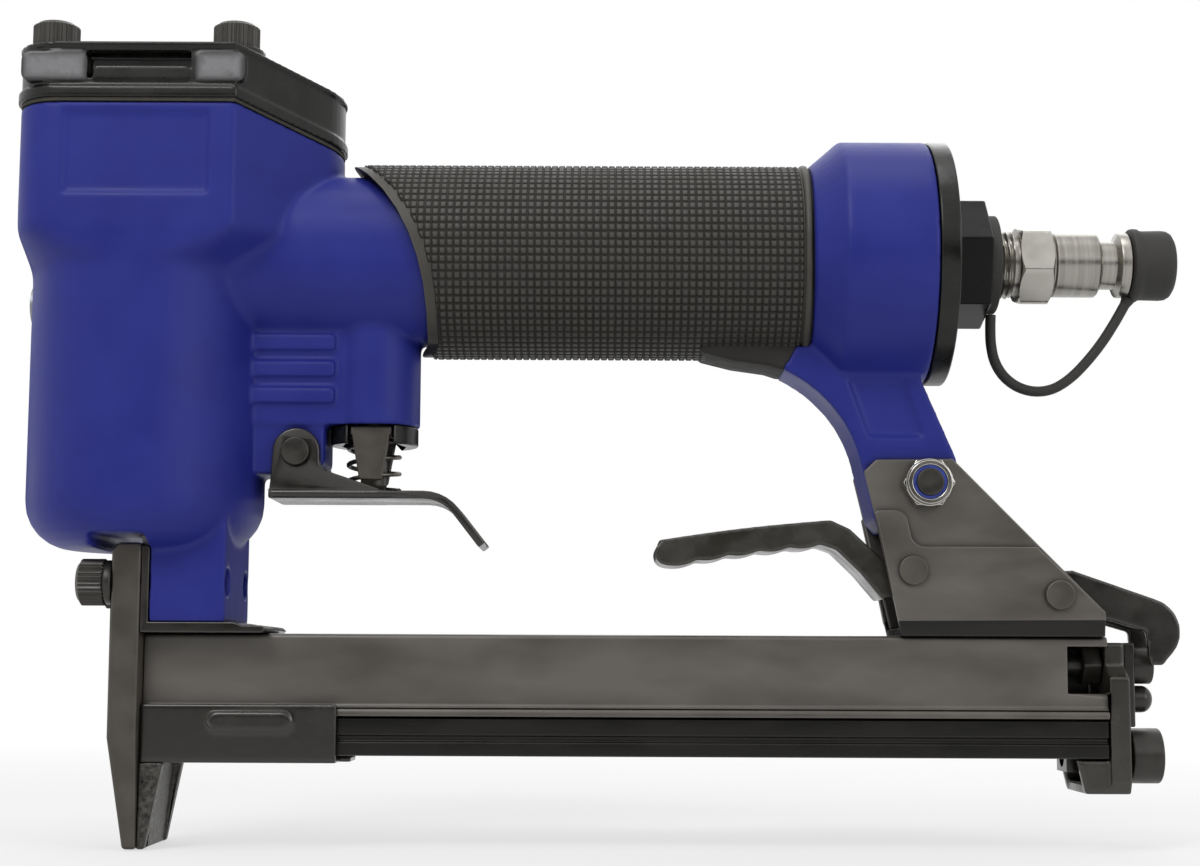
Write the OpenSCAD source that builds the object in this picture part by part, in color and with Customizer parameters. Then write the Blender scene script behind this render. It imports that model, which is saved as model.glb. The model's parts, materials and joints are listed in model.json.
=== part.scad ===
// Pneumatic upholstery stapler for fine wire staples.
// Origin: driver line on the bottom face of the nose. +X runs to the rear, +Z up, +Y to the left hand side.

/* [Cylinder head] */
// Bore of the cylinder
bore_d = 32; // [29:0.5:33]
// Wall of the cylinder sleeve
sleeve_wall = 2; // [1.6:0.2:2.4]
// Wall of the casting around the sleeve
casting_wall = 4; // [3.4:0.2:5]
// How far the outside of the casting sits ahead of the bore
casting_lead = 1.5; // [0:0.5:1.6]
// Width of the square head
head_w = 45; // [44:0.5:50]
// Length of the head's flat sides behind the bore
head_flat = 17.4; // [17:0.2:20]
// Length of the chamfered rear corners
head_facet = 14.8; // [13:0.2:16]
// Height of the joint between casting and cap
cap_z = 136; // [135:0.5:142]
// Height of the square head
head_h = 24; // [18:0.5:26]
// Height of the cylinder cap
cap_h = 10.4; // [9:0.2:12]
// Length of the cap's sloping rear
ramp_len = 17.4; // [17:0.2:20]
// Drop of the cap's sloping rear
ramp_drop = 5.2; // [4:0.2:7]
// Thickness of the cap gasket
gasket_t = 0.6; // [0.4:0.1:1]
// Length of the exhaust slot
exhaust_len = 19.4; // [14:0.2:22]
// Height of the exhaust slot
exhaust_h = 5.2; // [4:0.2:6]
// Spacing of the cap screws, front to rear
cap_screw_dx = 33.6; // [33:0.2:36]
// Spacing of the cap screws, side to side
cap_screw_dy = 30; // [30:0.5:34]

/* [Piston and driver] */
// Stroke of the piston
stroke = 40; // [30:1:41]
// Height of the piston head
piston_h = 14; // [10:1:16]
// Width of the driver blade
driver_w = 12.6; // [10:0.1:12.8]
// Thickness of the driver blade
driver_t = 1.2; // [0.9:0.05:1.3]

/* [Nose] */
// Height of the casting foot above the work
foot_z = 41; // [40:0.5:44]
// Length of the casting foot behind its front face
foot_len = 13.9; // [13:0.1:16]
// Width of the casting foot
foot_w = 25.4; // [25:0.2:26]
// Height of the cylinder's lower end
cylinder_z = 54.4; // [53:0.2:56]
// Thickness of the nose plate
nose_t = 5.4; // [5:0.1:7]
// Height of the nose plate
nose_h = 55.4; // [54:0.2:58]
// Width of the nose plate
nose_w = 26; // [26:0.5:28]
// Width of the nose tip
tip_w = 22; // [20:0.5:24]
// Thickness of the bent sheet under the foot
sheet_t = 2; // [1.5:0.1:2.5]
// Depth of the block behind the driver slot
nose_block_t = 2.9; // [2:0.1:3.6]

/* [Magazine] */
// Length of the magazine rail
rail_len = 177; // [165:1:185]
// Width of the magazine rail
rail_w = 17; // [16.8:0.1:18]
// Height of the magazine rail
rail_h = 15; // [14.6:0.1:16]
// Wall of the magazine rail
rail_wall = 1.3; // [1:0.1:1.3]
// Width of the drawer's core, inside the staple legs
core_w = 10.6; // [10:0.1:10.8]
// Height of the drawer's lower rail
drawer_h = 6.9; // [6:0.1:8]
// Length of the front cover
cover_len = 35.8; // [30:0.5:45]
// Length of the pusher
pusher_len = 20; // [15:1:25]
// Thickness of the drawer's end plate
end_plate_t = 3.7; // [3:0.1:4.2]

/* [Handle] */
// Height of the handle's axis
handle_z = 110; // [109:0.5:112]
// Height of the handle casting
handle_h = 32.4; // [32:0.2:35]
// Width of the handle casting
handle_w = 29; // [28:0.5:31]
// Thickness of the rubber grip
grip_t = 2; // [1.5:0.1:3]
// Rear end of the grip
grip_end_x = 123.6; // [115:0.5:124]
// Diameter of the rear block
rear_d = 46.4; // [45:0.2:50]
// Rear face of the casting
rear_x = 145.9; // [145.4:0.1:148]
// Diameter of the air chamber in the handle
chamber_d = 22; // [20:0.5:24]
// Width of the rear arm
arm_w = 15; // [15:0.2:16]

/* [Air inlet] */
// Thickness of the end cap's disc
disc_t = 3.7; // [3:0.1:4.4]
// Width across flats of the hex bushing
bushing_af = 21.5; // [20:0.5:23]
// Length of the hex bushing
bushing_len = 8; // [7:0.1:9]
// Width across flats of the air plug
plug_af = 14; // [14:0.5:16]
// Diameter of the plug's thread
plug_thread_d = 13.1; // [12.6:0.1:13.4]
// Diameter of the plug's nipple
nipple_d = 12.2; // [11.6:0.1:12.4]
// Length of the dust cap
dust_cap_len = 8.8; // [8.4:0.2:11]

/* [Trigger] */
// Distance of the valve axis behind the driver line
valve_x = 41.5; // [40:0.5:43]
// Diameter of the valve boss
boss_d = 17.2; // [16.8:0.2:19]
// Height of the boss's lower end
boss_z = 78; // [76:0.5:80]
// Distance of the trigger pin behind the driver line
trigger_x = 27.8; // [27:0.2:29]
// Height of the trigger pin
trigger_z = 72.7; // [72:0.1:74]
// Diameter of the trigger pin
trigger_pin_d = 4; // [3:0.1:4.4]
// Width of the trigger ear on the casting
ear_w = 13; // [12.6:0.2:14]
// Thickness of the trigger's sheet
trigger_t = 1.5; // [1:0.1:1.8]
// Height of the trigger's web under the pin
trigger_drop = 8.7; // [8:0.1:9]

/* [Magazine release] */
// Distance of the arm bolt from the rail's rear end
arm_bolt_back = 33; // [32:0.5:34]
// Height of the arm bolt
arm_bolt_z = 67; // [66:0.5:68]
// Thickness of the arm plates and the bracket
plate_t = 1.5; // [1.2:0.1:1.8]
// Distance of the lever pin from the rail's rear end
lever_back = 35.8; // [35:0.2:37]
// Height of the lever pin above the rail
lever_up = 12; // [11.6:0.1:13]
// Distance of the latch pin from the rail's rear end
latch_back = 9; // [8.4:0.1:9.4]
// Height of the latch pin above the rail
latch_up = 7.6; // [7.4:0.1:8]
// Diameter of the lever and latch pins
pivot_d = 4; // [3:0.1:4.4]
// Thickness of the finger lever
lever_t = 4.6; // [4:0.1:6]

/* [Fasteners] */
// Thread diameter of the main screws
screw_d = 5; // [4:0.1:5.2]
// Diameter of their heads
screw_head_d = 8.6; // [7.5:0.1:9]
// Width across flats of the nuts
nut_af = 8.4; // [8:0.1:8.6]

/* [Fits] */
// Gap of a running fit, on each side
run = 0.1; // [0.05:0.01:0.12]
// Gap between pieces that pass each other
pass = 0.3; // [0.25:0.05:0.35]

/* [Hidden] */
$fn = 48;

blue = "#2f3582";
black = "#35332f";
rubber = "#3d3b34";
steel = "#b9b7b0";
spring_steel = "#8f8d86";
amber = "#8a6a3a";

// Cylinder and head
sleeve_r = bore_d / 2 + sleeve_wall;
casting_bore_r = sleeve_r + run;
cylinder_r = casting_bore_r + casting_wall;
head_x = -casting_lead;
head_front = head_x - cylinder_r;
head_low_z = cap_z - head_h;
head_side = head_w / 2;
neck_side = head_side - head_facet;
ramp_x = head_flat;
ramp_end = ramp_x + ramp_len;
head_end = head_flat + head_facet;
ramp_slope = ramp_drop / ramp_len;
gasket_z = cap_z - gasket_t;
corner_r = 9;
notch_top = nose_h + 1.6;
floor_z = max(cylinder_z + 4, notch_top + 1.6);
bumper_h = 10.8;
sleeve_z = floor_z + 4;
sleeve_top = gasket_z - run;
piston_gap = 4;
piston_z = floor_z + bumper_h + piston_gap + stroke;
piston_boss_r = 8;
piston_boss_h = 8;
driver_tip_z = stroke;
slot_t = driver_t + 2 * run;
slot_w = driver_w + 4 * run;
cap_screw_xs = [for (side = [-1, 1]) head_x + 0.9 + side * cap_screw_dx / 2];
cap_boss_h = 0.4;
cap_boss_r = 5.4;
exhaust_depth = 3.5;
insert_z = cap_z - 35;
insert_r = 4;
insert_len = 3;
screw_r = screw_d / 2;
small_screw_r = screw_r - 0.5;
head_r = screw_head_d / 2;
cap_screw_len = 24;
firing_x = ramp_x + 9.6;
firing_r = 5.5;
firing_z = handle_z + chamber_d / 2 + 2;

// Nose
slot_half = slot_t / 2;
foot_x = slot_half + sheet_t * 0.75;
foot_end = foot_x + foot_len;
rail_top = foot_z - sheet_t;
rail_z = rail_top - rail_h;
rail_x = slot_half;
rail_end = rail_x + rail_len;
nose_front = slot_half - nose_t;
nose_screw_y = slot_w / 2 + screw_r + 0.6;
nose_screw_z = (foot_z + nose_h) / 2;
dowel_z = foot_z + 2.4;
dowel_r = 1.2;
sheet_skin = 0.7 * sheet_t;
washer_t = 1.5;
nose_taper_z = 20;
nose_tip_t = 2.5;

// Magazine
rail_in = rail_w / 2 - rail_wall;
rail_roof = rail_top - 1.5;
lip_h = 1.6;
lip_out = 0.8;
drawer_top = rail_z - pass;
drawer_z = drawer_top - drawer_h;
core_top = rail_roof - 0.9;
core_wall = 1.2;
core_in = core_w / 2 - core_wall;
drawer_x = rail_x + pass;
core_end = rail_end - 14;
cover_wall = 1;
cover_z = drawer_z - pass - cover_wall;
cover_top = rail_z + 2.2;
cover_in = rail_w / 2 + lip_out + run;
rod_z = rail_roof - 8;
rod_r = 1.5;
end_block_x = core_end - 4;
end_plate_x = rail_end + 0.2;
end_plate_back = end_plate_x + end_plate_t;
end_plate_z = drawer_z - 6.4;
end_plate_top = rail_top - 1;
tongue_side = core_w / 2;
tongue_z = rail_top - 5.4;
catch_t = 2;
catch_z = rail_top - 5.2;
catch_head_r = 3.4;
catch_dome_r = 2.5;
catch_rivet_z = catch_z - catch_head_r - catch_dome_r - pass;
drawer_screw_z = drawer_z + 0.3;
drawer_head_r = 5.1;
pusher_x = drawer_x + 0.2;
pusher_end = pusher_x + pusher_len;
pusher_side = rail_in - 2 * run;

// Handle, arm and release
grip_h = handle_h + 2 * grip_t;
grip_w = handle_w + 2 * grip_t;
rear_cone_x = grip_end_x + 5.8;
arm_bolt_x = rail_end - arm_bolt_back;
arm_side = arm_w / 2;
plate_out = arm_side + plate_t;
bracket_out = plate_out + plate_t;
bracket_top = rail_top + plate_t;
lever_x = rail_end - lever_back;
lever_z = rail_top + lever_up;
latch_x = rail_end - latch_back;
latch_z = rail_top + latch_up;
latch_side = arm_side - pass;
latch_in = latch_side - plate_t;
claw_x = end_plate_back + catch_t + 1.6;
claw_end = claw_x + 6.4;
claw_z = tongue_z + pass;
arm_tip_x = (lever_x + latch_x) / 2 - 0.4;
release_side = 4;
touch_z = latch_z + 1.4;
pivot_r = pivot_d / 2;
pivot_head_r = pivot_r + 0.7;

// Air inlet
disc_end = rear_x + disc_t;
bushing_end = disc_end + bushing_len;
inlet_ring_t = 2.1;
inlet_ring_r = 9.4;
ring_end = bushing_end + inlet_ring_t;
hex_x = ring_end + 3.9;
hex_end = hex_x + 6.4;
nipple_end = hex_end + 9;
groove_end = nipple_end + 4;
collar_end = groove_end + 2;
plug_tip_r = 5.3;
dust_cap_x = collar_end - 0.4;
dust_cap_end = dust_cap_x + dust_cap_len;
dust_cap_r = nipple_d / 2 + 0.6;
plug_bore_r = 3.4;
thread_r = plug_thread_d / 2;
spigot_r = chamber_d / 2 - run;
bushing_spigot_r = thread_r + 1.4;
strap_r = 1;
// Route of the dust cap's strap, hand chosen, from the ring to the cap
strap_route = [
    [158.9, 0, 100.3], [158.8, 0, 97.6], [158.9, 0, 94.4], [159.6, 0, 91.2], [161.3, 0, 88.4],
    [164, 0, 86.4], [167.3, 0, 85.6], [170.7, 0, 86.2], [174, 0, 88.3], [177.1, 0, 91.4],
    [180, 0, 95], [182.5, 0, 98.8], [184.6, 0, 102.4]
];

// Trigger valve
boss_r = boss_d / 2;
collar_h = 3.6;
collar_r = boss_r - 0.3;
collar_z = boss_z - collar_h;
stem_r = 2.5;
bushing_r = 6;
ear_side = ear_w / 2;
cheek_in = ear_side + pass;
cheek_out = cheek_in + trigger_t;
web_z = trigger_z - trigger_drop;
web_top = web_z + trigger_t;
ear_z = web_top + 2.8;
trigger_pin_r = trigger_pin_d / 2;
stem_tip_z = web_top + pass;
spring_mean_r = 4.8;
spring_wire = 0.9;
bend_x = valve_x + 10;
bend_r = 7;
bend_turn = 52;
flap = 8;
leg_in = spring_mean_r + spring_wire / 2 + pass;
leg_out = cheek_in - pass;
leg_top_half = 3.9;
yoke_t = 1.5;
stem_lift = 2.7;
yoke_top = boss_z - pass;
yoke_room = boss_z + stem_lift + pass;

// Shape helpers
module along_x(x0, x1) {
    translate([x0, 0, 0]) rotate([90, 0, 90]) linear_extrude(x1 - x0) children();
}

module across_y(y0, y1) {
    translate([0, y1, 0]) rotate([90, 0, 0]) linear_extrude(y1 - y0) children();
}

module both_sides() {
    children();
    mirror([0, 1, 0]) children();
}

module rod_x(x0, x1, z, r, y = 0) {
    translate([x0, y, z]) rotate([0, 90, 0]) cylinder(h = x1 - x0, r = r);
}

module rod_y(x, z, r, y0, y1) {
    translate([x, y1, z]) rotate([90, 0, 0]) cylinder(h = y1 - y0, r = r);
}

module rod_z(x, z0, z1, r, y = 0) {
    translate([x, y, z0]) cylinder(h = z1 - z0, r = r);
}

module torus(major, minor) {
    rotate_extrude() translate([major, 0]) circle(r = minor, $fn = 16);
}

module stadium(w, h) {
    square([w, h - w], center = true);
    for (side = [-1, 1])
        translate([0, side * (h - w) / 2]) circle(d = w);
}

module rounded_bar(x0, x1, z0, z1) {
    r = (z1 - z0) / 2;
    translate([x0 + r, z0]) square([x1 - x0 - 2 * r, z1 - z0]);
    for (x = [x0 + r, x1 - r])
        translate([x, z0 + r]) circle(r = r);
}

module hex_x(x0, x1, z, af, turn = 0) {
    translate([x0, 0, z]) rotate([0, 90, 0]) rotate(turn) cylinder(h = x1 - x0, d = af / cos(30), $fn = 6);
}

function arc(cx, cz, r, from, to, steps = 8) =
    [for (i = [0:steps]) let (a = from + (to - from) * i / steps) [cx + r * cos(a), cz + r * sin(a)]];

// Tube swept along a path; side_ref is a direction that the path never follows
module tube(path, r, sides, side_ref) {
    n = len(path);
    rings = [for (i = [0:n - 1])
        let (t = path[min(i + 1, n - 1)] - path[max(i - 1, 0)],
             u = cross(t, side_ref) / norm(cross(t, side_ref)),
             v = cross(u, t) / norm(cross(u, t)))
        for (k = [0:sides - 1]) path[i] + r * (cos(360 * k / sides) * u + sin(360 * k / sides) * v)];
    walls = [for (i = [0:n - 2]) for (k = [0:sides - 1])
        let (a = i * sides + k, b = i * sides + (k + 1) % sides)
        each [[a, a + sides, b], [b, a + sides, b + sides]]];
    caps = [for (k = [1:sides - 2]) each [[0, k, k + 1], let (e = (n - 1) * sides) [e, e + k + 1, e + k]]];
    polyhedron(rings, concat(walls, caps));
}

// Least clear gap between stretches of a wound tube that are not neighbours
function least_gap(path, wire) =
    min([for (i = [0:len(path) - 1]) for (j = [i + 6:1:len(path) - 1]) norm(path[i] - path[j])]) - wire;

function coil_path(mean_r, wire, curls, height) =
    let (rise = height - wire, steps = curls * 8)
    concat(
        [[mean_r, -wire, wire / 2]],
        [for (i = [0:steps]) let (a = 360 * i / 8)
            [mean_r * cos(a), mean_r * sin(a), wire / 2 + rise * i / steps]],
        [[mean_r, wire, wire / 2 + rise]]);

// Wound spring standing on z = 0, one unbroken tube
module coil(mean_r, wire, curls, height) {
    path = coil_path(mean_r, wire, curls, height);
    echo(spring_height = height, least_gap = least_gap(path, wire));
    tube(path, wire / 2, 6, [0, 0, 1]);
}

// Point of the head's rounded tail, from the chamfer's end (0) to the middle of the tail (1)
function tail_point(f, side) =
    let (start = [head_end, neck_side], mid = [ramp_end, 0],
         bend = [ramp_end, neck_side - ramp_end + head_end],
         p = (1 - f) * (1 - f) * start + 2 * f * (1 - f) * bend + f * f * mid)
    [p[0], side * p[1]];

// Outline of the head seen from above
module head_plan() {
    front = head_front + corner_r;
    steps = 5;
    polygon(concat(
        [[front, -head_side], [head_flat, -head_side]],
        [for (i = [0:steps]) tail_point(i / steps, -1)],
        [for (i = [steps - 1:-1:0]) tail_point(i / steps, 1)],
        [[head_flat, head_side], [front, head_side]]));
    translate([head_front, corner_r - head_side]) square([corner_r + 1, head_w - 2 * corner_r]);
    for (side = [-1, 1])
        translate([front, side * (head_side - corner_r)]) circle(r = corner_r);
}

// Side view band of the head between two heights, both following the ramp
module head_band(z0, z1) {
    across_y(-head_side, head_side)
        polygon([
            [head_front, z0], [ramp_x, z0], [ramp_end, z0 - ramp_drop],
            [ramp_end, z1 - ramp_drop], [ramp_x, z1], [head_front, z1]]);
}

module at_cap_screws() {
    for (x = cap_screw_xs, side = [-1, 1])
        translate([x, side * cap_screw_dy / 2, 0]) children();
}

module at_nose_screws() {
    for (side = [-1, 1])
        translate([0, side * nose_screw_y, nose_screw_z]) children();
}

// Casting
module casting_shape() {
    rim_r = 9;
    intersection() {
        translate([0, 0, head_low_z]) linear_extrude(head_h) head_plan();
        head_band(head_low_z - ramp_drop, gasket_z);
    }
    hull() {
        translate([0, 0, head_low_z]) linear_extrude(0.1) head_plan($fn = 32);
        translate([head_x, 0, head_low_z - 6]) cylinder(h = 0.1, r = cylinder_r, $fn = 32);
    }
    translate([head_x, 0, cylinder_z])
        rotate_extrude()
            polygon(concat([[0, 0]], arc(cylinder_r - rim_r, rim_r, rim_r, -90, 0, 6),
                [[cylinder_r, head_low_z - cylinder_z], [0, head_low_z - cylinder_z]]));
    translate([foot_x, -foot_w / 2, foot_z]) cube([foot_len, foot_w, cylinder_z + 6 - foot_z]);
    along_x(head_x, rear_cone_x) translate([0, handle_z]) stadium(handle_w, handle_h);
    translate([grip_end_x, 0, handle_z]) rotate([0, 90, 0])
        cylinder(h = rear_cone_x - grip_end_x, r1 = grip_h / 2, r2 = rear_d / 2);
    rod_x(rear_cone_x, rear_x, handle_z, rear_d / 2);
    trigger_mount();
    rear_arm();
}

// Web, ribs, valve boss and ear that carry the trigger
module trigger_mount() {
    rib_z = boss_z + 3.9;
    rib_h = 2.9;
    rib_pitch = 5;
    rib_end = valve_x - 6.9;
    web_side = boss_r - 1.6;
    ear_end = valve_x - collar_r - pass;
    rod_z(valve_x, boss_z, handle_z, boss_r);
    translate([head_x, -web_side, boss_z])
        cube([valve_x - head_x, 2 * web_side, handle_z - boss_z]);
    for (i = [0:2])
        translate([head_x, -web_side - 1, rib_z + i * rib_pitch])
            cube([rib_end - head_x, 2 * web_side + 2, rib_h]);
    across_y(-ear_side, ear_side)
        polygon([
            [head_x, boss_z + 2], [head_x, ear_z + 3], [trigger_x - 3, ear_z], [trigger_x + 3, ear_z],
            [ear_end, ear_z + 2.5], [ear_end, boss_z + 2]]);
}

// Arm that runs down from the rear block to the magazine
module rear_arm() {
    sweep_r = 25.3;
    sweep_x = arm_bolt_x - 36.5;
    sweep_z = arm_bolt_z - 1.5;
    toe_z = arm_bolt_z - 8.5;
    difference() {
        across_y(-arm_side, arm_side)
            polygon(concat(
                [[sweep_x + 8, handle_z - handle_h / 2 + 2]],
                arc(sweep_x, sweep_z, sweep_r, 70, 10, 8),
                [[arm_bolt_x - 9.4, toe_z + 2], [arm_bolt_x - 7.8, toe_z], [arm_bolt_x + 4, toe_z],
                 [arm_bolt_x + 7.4, toe_z + 4], [arm_bolt_x + 6, arm_bolt_z + 5],
                 [arm_bolt_x - 1.2, handle_z - rear_d / 2 + 2],
                 [arm_bolt_x - 1.2, handle_z - handle_h / 2]]));
        // Room for the end of the grip
        along_x(grip_end_x - 30, grip_end_x)
            translate([0, handle_z]) stadium(grip_w + 2 * run, grip_h + 2 * run);
    }
}

// Room for the stem's yoke between two heights
module yoke_pocket(low, high, side) {
    half = leg_top_half + 0.4;
    translate([valve_x - half, -side, low]) cube([2 * half, 2 * side, high - low]);
}

module body_casting() {
    panel_depth = 0.8;
    plate_depth = 0.6;
    notch_lead = 3.2;
    color(blue)
    difference() {
        casting_shape();
        rod_z(0, floor_z, cap_z + 1, casting_bore_r);
        translate([-slot_half - run, -slot_w / 2, cylinder_z - 4])
            cube([slot_t + 2 * run, slot_w, floor_z - cylinder_z + 5]);
        // Notch across the cylinder's lower end for the nose plate
        translate([nose_front - notch_lead, -cylinder_r, foot_z - 1])
            cube([foot_x - nose_front + notch_lead, 2 * cylinder_r, notch_top - foot_z + 1]);
        at_cap_screws() rod_z(0, cap_z - 26, cap_z + 1, screw_r + run);
        rod_x(ramp_x + 7.6, rear_x + 1, handle_z, chamber_d / 2);
        rod_z(firing_x, firing_z, cap_z + 1, firing_r + run);
        rod_z(firing_x, handle_z, firing_z + 1, 3);
        rod_z(valve_x, boss_z - 1, handle_z, bushing_r + run);
        rod_y(trigger_x, trigger_z, trigger_pin_r + run, -foot_w, foot_w);
        at_nose_screws() rod_x(foot_x - 1, foot_end + 1, 0, screw_r + run);
        dowels(dowel_r + run / 2);
        rod_y(arm_bolt_x, arm_bolt_z, screw_r + run, -arm_w, arm_w);
        rod_x(head_front - 1, head_front + insert_len, insert_z, insert_r + run);
        yoke_pocket(boss_z - 1, yoke_room, leg_out + pass);
        // Bare recess for a plate on each side of the head
        both_sides()
            across_y(-head_side - 1, plate_depth - head_side)
                translate([head_x - 12.3, cap_z - 17.8]) square([26.8, 15.6]);
        // Bare recessed panel on each side of the arm
        both_sides()
            across_y(-arm_side - 1, panel_depth - arm_side)
                polygon([
                    [arm_bolt_x - 14.4, arm_bolt_z + 20.3], [arm_bolt_x - 3.7, arm_bolt_z + 20.3],
                    [arm_bolt_x + 0.2, arm_bolt_z + 8.9], [arm_bolt_x - 10.4, arm_bolt_z + 8.9]]);
    }
}

module cap_gasket() {
    color("#33312d")
    difference() {
        intersection() {
            translate([0, 0, cap_z - ramp_drop - 5]) linear_extrude(ramp_drop + 10) head_plan();
            head_band(gasket_z, cap_z);
        }
        rod_z(0, gasket_z - 10, cap_z + 10, casting_bore_r);
        rod_z(firing_x, gasket_z - 10, cap_z + 10, firing_r + 1);
        at_cap_screws() rod_z(0, gasket_z - 10, cap_z + 10, screw_r + run);
    }
}

module cylinder_cap() {
    slot_z = cap_z + 3.6;
    color(black)
    difference() {
        union() {
            intersection() {
                translate([0, 0, cap_z - ramp_drop - 5])
                    linear_extrude(cap_h + ramp_drop + 10) head_plan();
                head_band(cap_z, cap_z + cap_h);
            }
            at_cap_screws() rod_z(0, cap_z + 1, cap_z + cap_h + cap_boss_h, cap_boss_r);
        }
        rod_z(0, cap_z - 1, cap_z + 3, bore_d / 2);
        rod_z(firing_x, cap_z - 10, cap_z + 1.6, firing_r + run);
        at_cap_screws() rod_z(0, cap_z - 10, cap_z + 20, screw_r + run);
        both_sides()
            across_y(-head_side - 2, exhaust_depth - head_side)
                translate([head_x + 1.1 - exhaust_len / 2, slot_z]) square([exhaust_len, exhaust_h]);
    }
}

module socket_screw(length) {
    difference() {
        union() {
            cylinder(h = screw_d, r = head_r);
            translate([0, 0, -length]) cylinder(h = length + 1, r = screw_r);
        }
        translate([0, 0, screw_d / 2]) cylinder(h = screw_d, d = 0.92 * screw_d, $fn = 6);
    }
}

module cap_screws() {
    color(black)
        at_cap_screws() translate([0, 0, cap_z + cap_h + cap_boss_h])
            socket_screw(cap_screw_len + cap_h + cap_boss_h);
}

module front_insert() {
    color("#9a9da3") rod_x(head_front - 0.2, head_front + insert_len - run, insert_z, insert_r);
}

// Power unit
groove_r = sleeve_r - 1;
sleeve_ring_zs = [sleeve_z + 8, sleeve_top - 6];

module cylinder_sleeve() {
    color(steel)
    difference() {
        rod_z(0, sleeve_z, sleeve_top, sleeve_r);
        rod_z(0, sleeve_z - 1, sleeve_top + 1, bore_d / 2);
        for (z = sleeve_ring_zs)
            translate([0, 0, z - 0.7]) difference() {
                cylinder(h = 1.4, r = sleeve_r + 1);
                translate([0, 0, -1]) cylinder(h = 4, r = groove_r);
            }
    }
}

module sleeve_o_rings() {
    minor = (casting_bore_r - groove_r) / 2 - 0.03;
    color(rubber)
        for (z = sleeve_ring_zs)
            translate([0, 0, z]) torus(groove_r + 0.03 + minor, minor);
}

module bumper() {
    outer = bore_d / 2 - 2 * run;
    color(amber)
    difference() {
        translate([0, 0, floor_z])
            rotate_extrude()
                polygon([
                    [piston_boss_r + 0.6, 0], [outer, 0], [outer, bumper_h - 3], [outer - 2, bumper_h],
                    [piston_boss_r + 2, bumper_h], [piston_boss_r + 0.6, bumper_h - 1.4]]);
    }
}

piston_r = bore_d / 2 - run;
piston_groove_r = piston_r - 2;
piston_ring_z = piston_z + piston_h - 5;
driver_pin_z = piston_z - piston_boss_h / 2;

module piston() {
    color("#c9c9c6")
    difference() {
        union() {
            rod_z(0, piston_z, piston_z + piston_h, piston_r);
            rod_z(0, piston_z - piston_boss_h, piston_z + 1, piston_boss_r);
        }
        translate([0, 0, piston_ring_z - 1.2]) difference() {
            cylinder(h = 2.4, r = piston_r + 1);
            translate([0, 0, -1]) cylinder(h = 6, r = piston_groove_r);
        }
        translate([-slot_half, -slot_w / 2, piston_z - piston_boss_h - 1])
            cube([slot_t, slot_w, piston_boss_h + 4]);
        rod_x(-piston_boss_r - 1, piston_boss_r + 1, driver_pin_z, 1.5 + run);
        rod_z(0, piston_z + 8, piston_z + piston_h + 1, piston_groove_r - 4);
    }
}

module piston_o_ring() {
    minor = (bore_d / 2 - piston_groove_r) / 2 - 0.05;
    color(rubber) translate([0, 0, piston_ring_z]) torus(piston_groove_r + minor + 0.02, minor);
}

module driver_blade() {
    color(steel)
    difference() {
        translate([-driver_t / 2, -driver_w / 2, driver_tip_z])
            cube([driver_t, driver_w, piston_z + 2.5 - driver_tip_z]);
        rod_x(-2, 2, driver_pin_z, 1.5 + run);
    }
}

module driver_pin() {
    color(steel) rod_x(-piston_boss_r + 0.5, piston_boss_r - 0.5, driver_pin_z, 1.5);
}

firing_valve_h = 7;

module firing_valve() {
    color("#d8d4c4")
    difference() {
        rod_z(firing_x, firing_z + pass, firing_z + firing_valve_h, firing_r);
        rod_z(firing_x, firing_z + 2.4, firing_z + firing_valve_h + 1, firing_r - 1.2);
    }
}

module firing_valve_spring() {
    low = firing_z + 2.6;
    high = cap_z - ramp_slope * (firing_x + firing_r - ramp_x) + 1.2;
    color(spring_steel) translate([firing_x, 0, low]) coil(3, 0.8, 5, high - low);
}

// Nose
module nose_plate() {
    side = nose_w / 2;
    edge = 1.2;
    color(black)
    difference() {
        intersection() {
            across_y(-side, side)
                polygon([
                    [slot_half, 0], [slot_half, nose_h], [nose_front + edge, nose_h],
                    [nose_front, nose_h - edge],
                    [nose_front, nose_taper_z], [slot_half - nose_tip_t, 0]]);
            along_x(nose_front - 1, slot_half + 1)
                polygon([
                    [-tip_w / 2, 0], [tip_w / 2, 0], [side, nose_taper_z], [side, nose_h], [-side, nose_h],
                    [-side, nose_taper_z]]);
        }
        translate([-slot_half, -slot_w / 2, -1]) cube([slot_t + 1, slot_w, nose_h + 2]);
        at_nose_screws() rod_x(nose_front - 1, foot_x, 0, screw_r + run);
        dowels(dowel_r + run / 2);
    }
}

module nose_screws() {
    color(black)
        at_nose_screws() translate([nose_front - washer_t, 0, 0]) rotate([0, -90, 0])
            socket_screw(foot_x + 10 - nose_front + washer_t);
}

module nose_spring_washers() {
    color(black)
        at_nose_screws() difference() {
            rod_x(nose_front - washer_t, nose_front, 0, head_r - 0.2);
            rod_x(nose_front - washer_t - 1, nose_front + 1, 0, screw_r + run);
            translate([nose_front - washer_t - 1, -0.5, 0]) cube([washer_t + 2, 1, head_r + 1]);
        }
}

// Bent sheet: a leg behind the nose plate, a floor under the foot and a tail that rests on the rail
module nose_sheet() {
    side = foot_w / 2;
    leg_top = nose_h - 0.5;
    tail = foot_end + 10.4;
    floor_low = foot_z - sheet_skin;
    tail_top = rail_top + sheet_skin;
    color(black)
    difference() {
        across_y(-side, side)
            polygon([
                [slot_half, floor_low], [foot_end + 1, floor_low], [foot_end + 2.6, rail_top],
                [tail - 0.8, rail_top], [tail, rail_top + sheet_skin / 2], [tail - 0.8, tail_top],
                [foot_end + 3.2, tail_top], [foot_end + 1.6, foot_z], [foot_x, foot_z],
                [foot_x, leg_top], [slot_half, leg_top]]);
        at_nose_screws() rod_x(0, foot_x + 1, 0, screw_r + run);
        dowels(dowel_r + run / 2);
    }
}

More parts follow.
